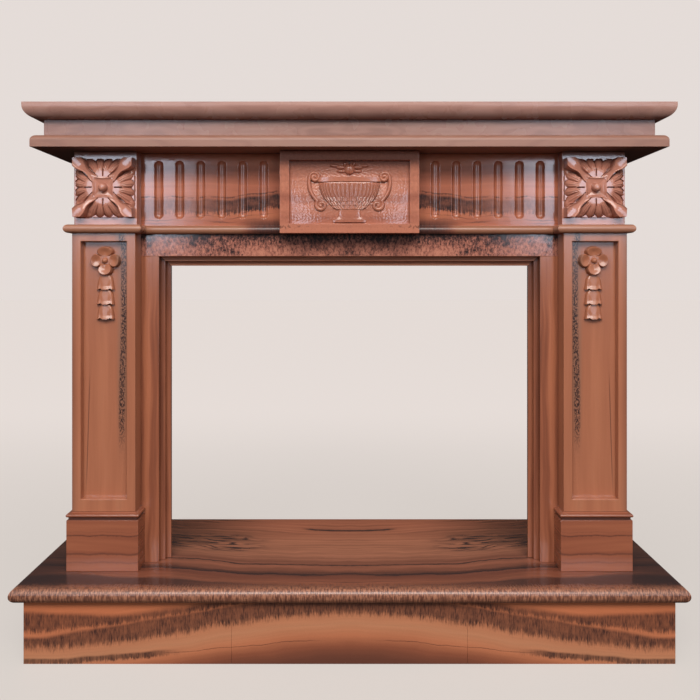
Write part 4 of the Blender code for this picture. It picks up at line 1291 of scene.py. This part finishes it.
def frieze_piece(word, side):
    """One panel; its x runs outwards from the tablet, and its bead is mitred at the capital."""
    low, high = box["frieze_" + word]
    base, top = float(low[2]), float(high[2])
    length = float(high[0] - low[0])
    inner = float(low[0]) if side > 0 else -float(high[0])
    block_z = base + ASTRAGAL
    centre_z = (block_z + top + STEP_GAP) / 2
    radius = FLUTE_WIDTH / 2
    straight = FLUTE_LENGTH / 2 - radius
    places = [length / 2 + (i - (FLUTES - 1) / 2) * FLUTE_PITCH for i in range(FLUTES)]
    round_over = 0.0010
    guard = 0.0004

    def height(x, z):
        """Round-ended grooves with a worn lip above the bead, and the bead below."""
        along = side * x - inner
        end = np.maximum(np.abs(z - centre_z) - straight, 0.0)
        cut = np.zeros_like(x)
        lip = np.zeros_like(x)
        for place in places:
            away = np.hypot(along - place, end)
            cut = np.maximum(cut, ball(np.minimum(away / radius, 1.0)))
            lip = np.maximum(lip, smooth_step(radius + round_over, radius, away))
        lift = ball(np.clip((z - base - ASTRAGAL / 2) / (ASTRAGAL / 2), -1.0, 1.0))
        bead = np.minimum(ASTRAGAL_FLAT + ASTRAGAL / 2 * lift, length - along)
        face = -FLUTE_DEPTH * cut - LIP_DEPTH * lip
        return np.where(z < block_z - 1e-6, bead, face)

    fine = 0.0008
    mitre = ASTRAGAL_FLAT + ASTRAGAL / 2
    stops = [0.0]
    steps = []
    for place in places:
        reach = radius + round_over
        stops += [place - reach - guard, place - reach, place + reach, place + reach + guard]
        steps += [1.0, guard, fine, guard]
    stops += [length - mitre, length]
    steps += [1.0, fine]
    along = lines(stops, steps)
    xs = side * (inner + along)
    turn = np.linspace(0.0, math.pi, 29)
    bead_z = base + ASTRAGAL / 2 * (1.0 - np.cos(turn))
    bead_z[-1] = block_z - 0.00002
    reach = FLUTE_LENGTH / 2 + round_over
    z_stops = [block_z, centre_z - reach - guard, centre_z - reach, centre_z - straight]
    z_stops += [centre_z + straight, centre_z + reach, centre_z + reach + guard, top]
    zs = np.concatenate([bead_z, lines(z_stops, [1.0, guard, fine, 0.02, fine, guard, 1.0])])
    if side < 0:
        xs = xs[::-1]
    points, faces = carved_block(xs, zs, FRIEZE_Y, FACADE_BACK, height)
    node = "frieze_" + word
    return finish_piece(node + "_stone", points, faces, FRIEZE, [node])


for word, side in SIDES:
    frieze_piece(word, side)

# %% [markdown]
# Handles of the urn. Each is a ridge along a scrolled line: two spirals joined by a curve. The
# ridge's height depends only on the distance to that line, so the line is all that is drawn.

# %% Handles
URN_WIDTH = 0.156


def bezier(points, cells):
    """Points along a cubic curve through its four control points."""
    t = np.linspace(0.0, 1.0, cells + 1)[:, None]
    p = np.array(points)
    start = (1 - t) ** 3 * p[0] + 3 * t * (1 - t) ** 2 * p[1]
    return start + 3 * t ** 2 * (1 - t) * p[2] + t ** 3 * p[3]


def spiral(centre, start_radius, end_radius, start_angle, end_angle, cells):
    """Points of a spiral from one radius and angle (degrees) to another."""
    angle = np.radians(np.linspace(start_angle, end_angle, cells + 1))
    radius = np.linspace(start_radius, end_radius, cells + 1)
    return np.stack([centre[0] + radius * np.cos(angle), centre[1] + radius * np.sin(angle)], axis=1)


def handle_path():
    """Centre line of one scrolled handle, in units of half the rim's width."""
    upper = spiral((1.06, 1.41), 0.03, 0.16, 500.0, 0.0, 40)
    stem = bezier([(1.22, 1.41), (1.27, 1.15), (1.18, 0.86), (0.98, 0.68)], 16)
    lower = spiral((0.86, 0.56), 0.17, 0.03, 45.0, -420.0, 36)
    return np.concatenate([upper, stem[1:], lower[1:]])


def distance_to_path(u, w, path):
    """Shortest distance of each point to a polyline."""
    best = np.full(u.shape, 1e9)
    for (x0, z0), (x1, z1) in zip(path[:-1], path[1:]):
        dx = x1 - x0
        dz = z1 - z0
        t = np.clip(((u - x0) * dx + (w - z0) * dz) / (dx * dx + dz * dz), 0.0, 1.0)
        best = np.minimum(best, np.hypot(u - x0 - t * dx, w - z0 - t * dz))
    return best


print("points along a handle", len(handle_path()))

# %% [markdown]
# Urn. It is in half relief, with the outline of a turned vessel: foot, stem, bowl and rim. At each
# height the outline gives a half width, and the body bulges between its two edges like a ball.
# Ribs, scales and rim are added to that bulge, and the crowning flower is a bud among leaves.

# %% Urn
SCALES_LOW = 0.42
SCALES_HIGH = 0.80
SCALE_ROW = 0.127
RIM_LOW = 1.275


def urn_height(x, z):
    """Urn, handles and crowning flower as a share of the relief; lengths in half rim widths."""
    unit = URN_WIDTH / 2
    u = np.abs(x) / unit
    w = z / unit

    # Foot, stem, bowl and rim
    drop = np.clip((1.24 - w) / 0.855, 0.0, 1.0)
    bowl_half = 0.37 + 0.55 * (1.0 - drop ** 2.2)
    levels = [w < 0.04, w < 0.13, w < 0.23, w < 0.41, w < 1.24, w < RIM_LOW, w < 1.423]
    halves = [0.001, 0.53, 0.34 + 14.0 * (0.23 - w) ** 2, 0.34, bowl_half, 0.86, 1.0]
    half = np.select(levels, halves, 0.001)
    share = u / half
    body = ball(np.minimum(share, 1.0))
    turn = np.arcsin(np.clip(share, 0.0, 1.0))
    upper = (w > SCALES_HIGH) & (w < 1.22)
    lower = (w > SCALES_LOW) & (w <= SCALES_HIGH)
    row = np.floor((w - SCALES_LOW) / SCALE_ROW)
    climb = (w - SCALES_LOW) / SCALE_ROW - row
    ribs = 0.17 * np.abs(np.sin(20.0 * turn)) ** 0.7 * upper
    scales = (0.12 * np.abs(np.sin(16.0 * turn + row * math.pi / 2.0)) + 0.09 * (1.0 - climb)) * lower
    rim = 0.16 * (w > RIM_LOW)
    rise = 0.38 + 0.32 * np.clip(half, 0.0, 1.0)
    body = np.where(share < 1.0, rise * body + ribs + scales + rim + 0.10, 0.0)
    under = -0.45 * smooth_step(0.0, 0.02, w) * smooth_step(0.045, 0.035, w)
    under = under * smooth_step(0.50, 0.42, u)

    # Handles
    handle = distance_to_path(u, w, handle_path()) / 0.060
    scroll = np.where(handle < 1.0, 0.20 + 0.50 * ball(np.minimum(handle, 1.0)), 0.0)

    # Crowning flower
    bud = np.hypot(u, w - 1.66) / 0.16
    finial = np.where(bud < 1.0, 0.20 + 0.42 * ball(np.minimum(bud, 1.0)), 0.0)
    leaves = [
        (0.24, 1.60, 0.14, 0.05),
        (0.27, 1.72, 0.15, 0.06),
        (0.46, 1.77, 0.14, 0.05),
        (0.14, 1.82, 0.06, 0.07),
    ]
    for centre_u, centre_w, half_u, half_w in leaves:
        away = np.hypot((u - centre_u) / half_u, (w - centre_w) / half_w)
        finial = np.maximum(finial, np.where(away < 1.0, 0.34 * domed(away, 3.0), 0.0))
    raised = np.maximum.reduce([body, scroll, finial])
    return np.where(raised > 0.0, raised, under)


print("urn's rim stands", round(float(urn_height(np.zeros(1), np.full(1, 1.3 * URN_WIDTH / 2))[0]), 3))

# %% [markdown]
# Tablet. A plain border frames a sunk field that swells towards its foot, and the urn stands in
# it. The field keeps a slight waviness from the chisel, which breaks up its reflections.

# %% Tablet
TABLET_BORDER = 0.0222
FIELD_DEPTH = 0.015
FIELD_LIP = 0.0006
CHISEL = 0.00014


def tablet_piece():
    """The whole tablet: plain border, sunk field that swells towards its foot, urn."""
    low, high = box["tablet"]
    base, top = float(low[2]), float(high[2])
    half = float(high[0] - low[0]) / 2
    face_y = float(low[1])
    field = half - TABLET_BORDER
    field_low = base + TABLET_BORDER
    field_high = top - TABLET_BORDER

    def height(x, z):
        """Field raised to the face by the urn's share, a worn lip round it, and the arrises."""
        inset = np.minimum.reduce([field - np.abs(x), z - field_low, field_high - z])
        sunk = smooth_step(0.0, EDGE_FALL, inset)
        lip = FIELD_LIP * smooth_step(-ARRIS, 0.0, inset)
        across = np.clip(np.abs(x) / field, 0.0, 1.0)
        up = np.clip((z - field_low) / (field_high - field_low), 0.0, 1.0)
        swell = (1.0 - across ** 2.6) * (1.0 - smooth_step(0.05, 0.95, up))
        floor = -FIELD_DEPTH * (1.0 - 0.68 * swell)
        wavy = np.sin(520.0 * x + 1.9 * np.sin(310.0 * z)) * np.sin(430.0 * z + 1.7 * np.sin(260.0 * x))
        floor = floor + CHISEL * wavy * smooth_step(0.0, 0.01, inset)
        raised = np.minimum(urn_height(x, z - field_low - EDGE_FALL), 1.0)
        carved = floor * (1.0 - raised)
        drop = edge_drop(x, z, -half, half, base, top, ARRIS)
        return sunk * (carved + FIELD_LIP) - lip - drop

    edge = ARRIS / 4
    wall = EDGE_FALL / 3
    fine = 0.00082
    x_stops = [-half, -half + ARRIS, -half + ARRIS + edge]
    x_stops += [-field - ARRIS - edge, -field - ARRIS, -field, -field + EDGE_FALL]
    x_stops = x_stops + [-x for x in x_stops[::-1]]
    steps = [edge, edge, 1.0, edge, edge, wall, fine, wall, edge, edge, 1.0, edge, edge]
    z_stops = [base, base + ARRIS, base + ARRIS + edge]
    z_stops += [field_low - ARRIS - edge, field_low - ARRIS, field_low]
    z_stops += [field_low + EDGE_FALL, field_high - EDGE_FALL, field_high, field_high + ARRIS]
    z_stops += [field_high + ARRIS + edge, top - ARRIS - edge, top - ARRIS, top]
    points, faces = carved_block(lines(x_stops, steps), lines(z_stops, steps), face_y, FACADE_BACK, height)
    return finish_piece("tablet_stone", points, faces, TABLET, ["tablet"])


tablet_piece()

# %% Finish
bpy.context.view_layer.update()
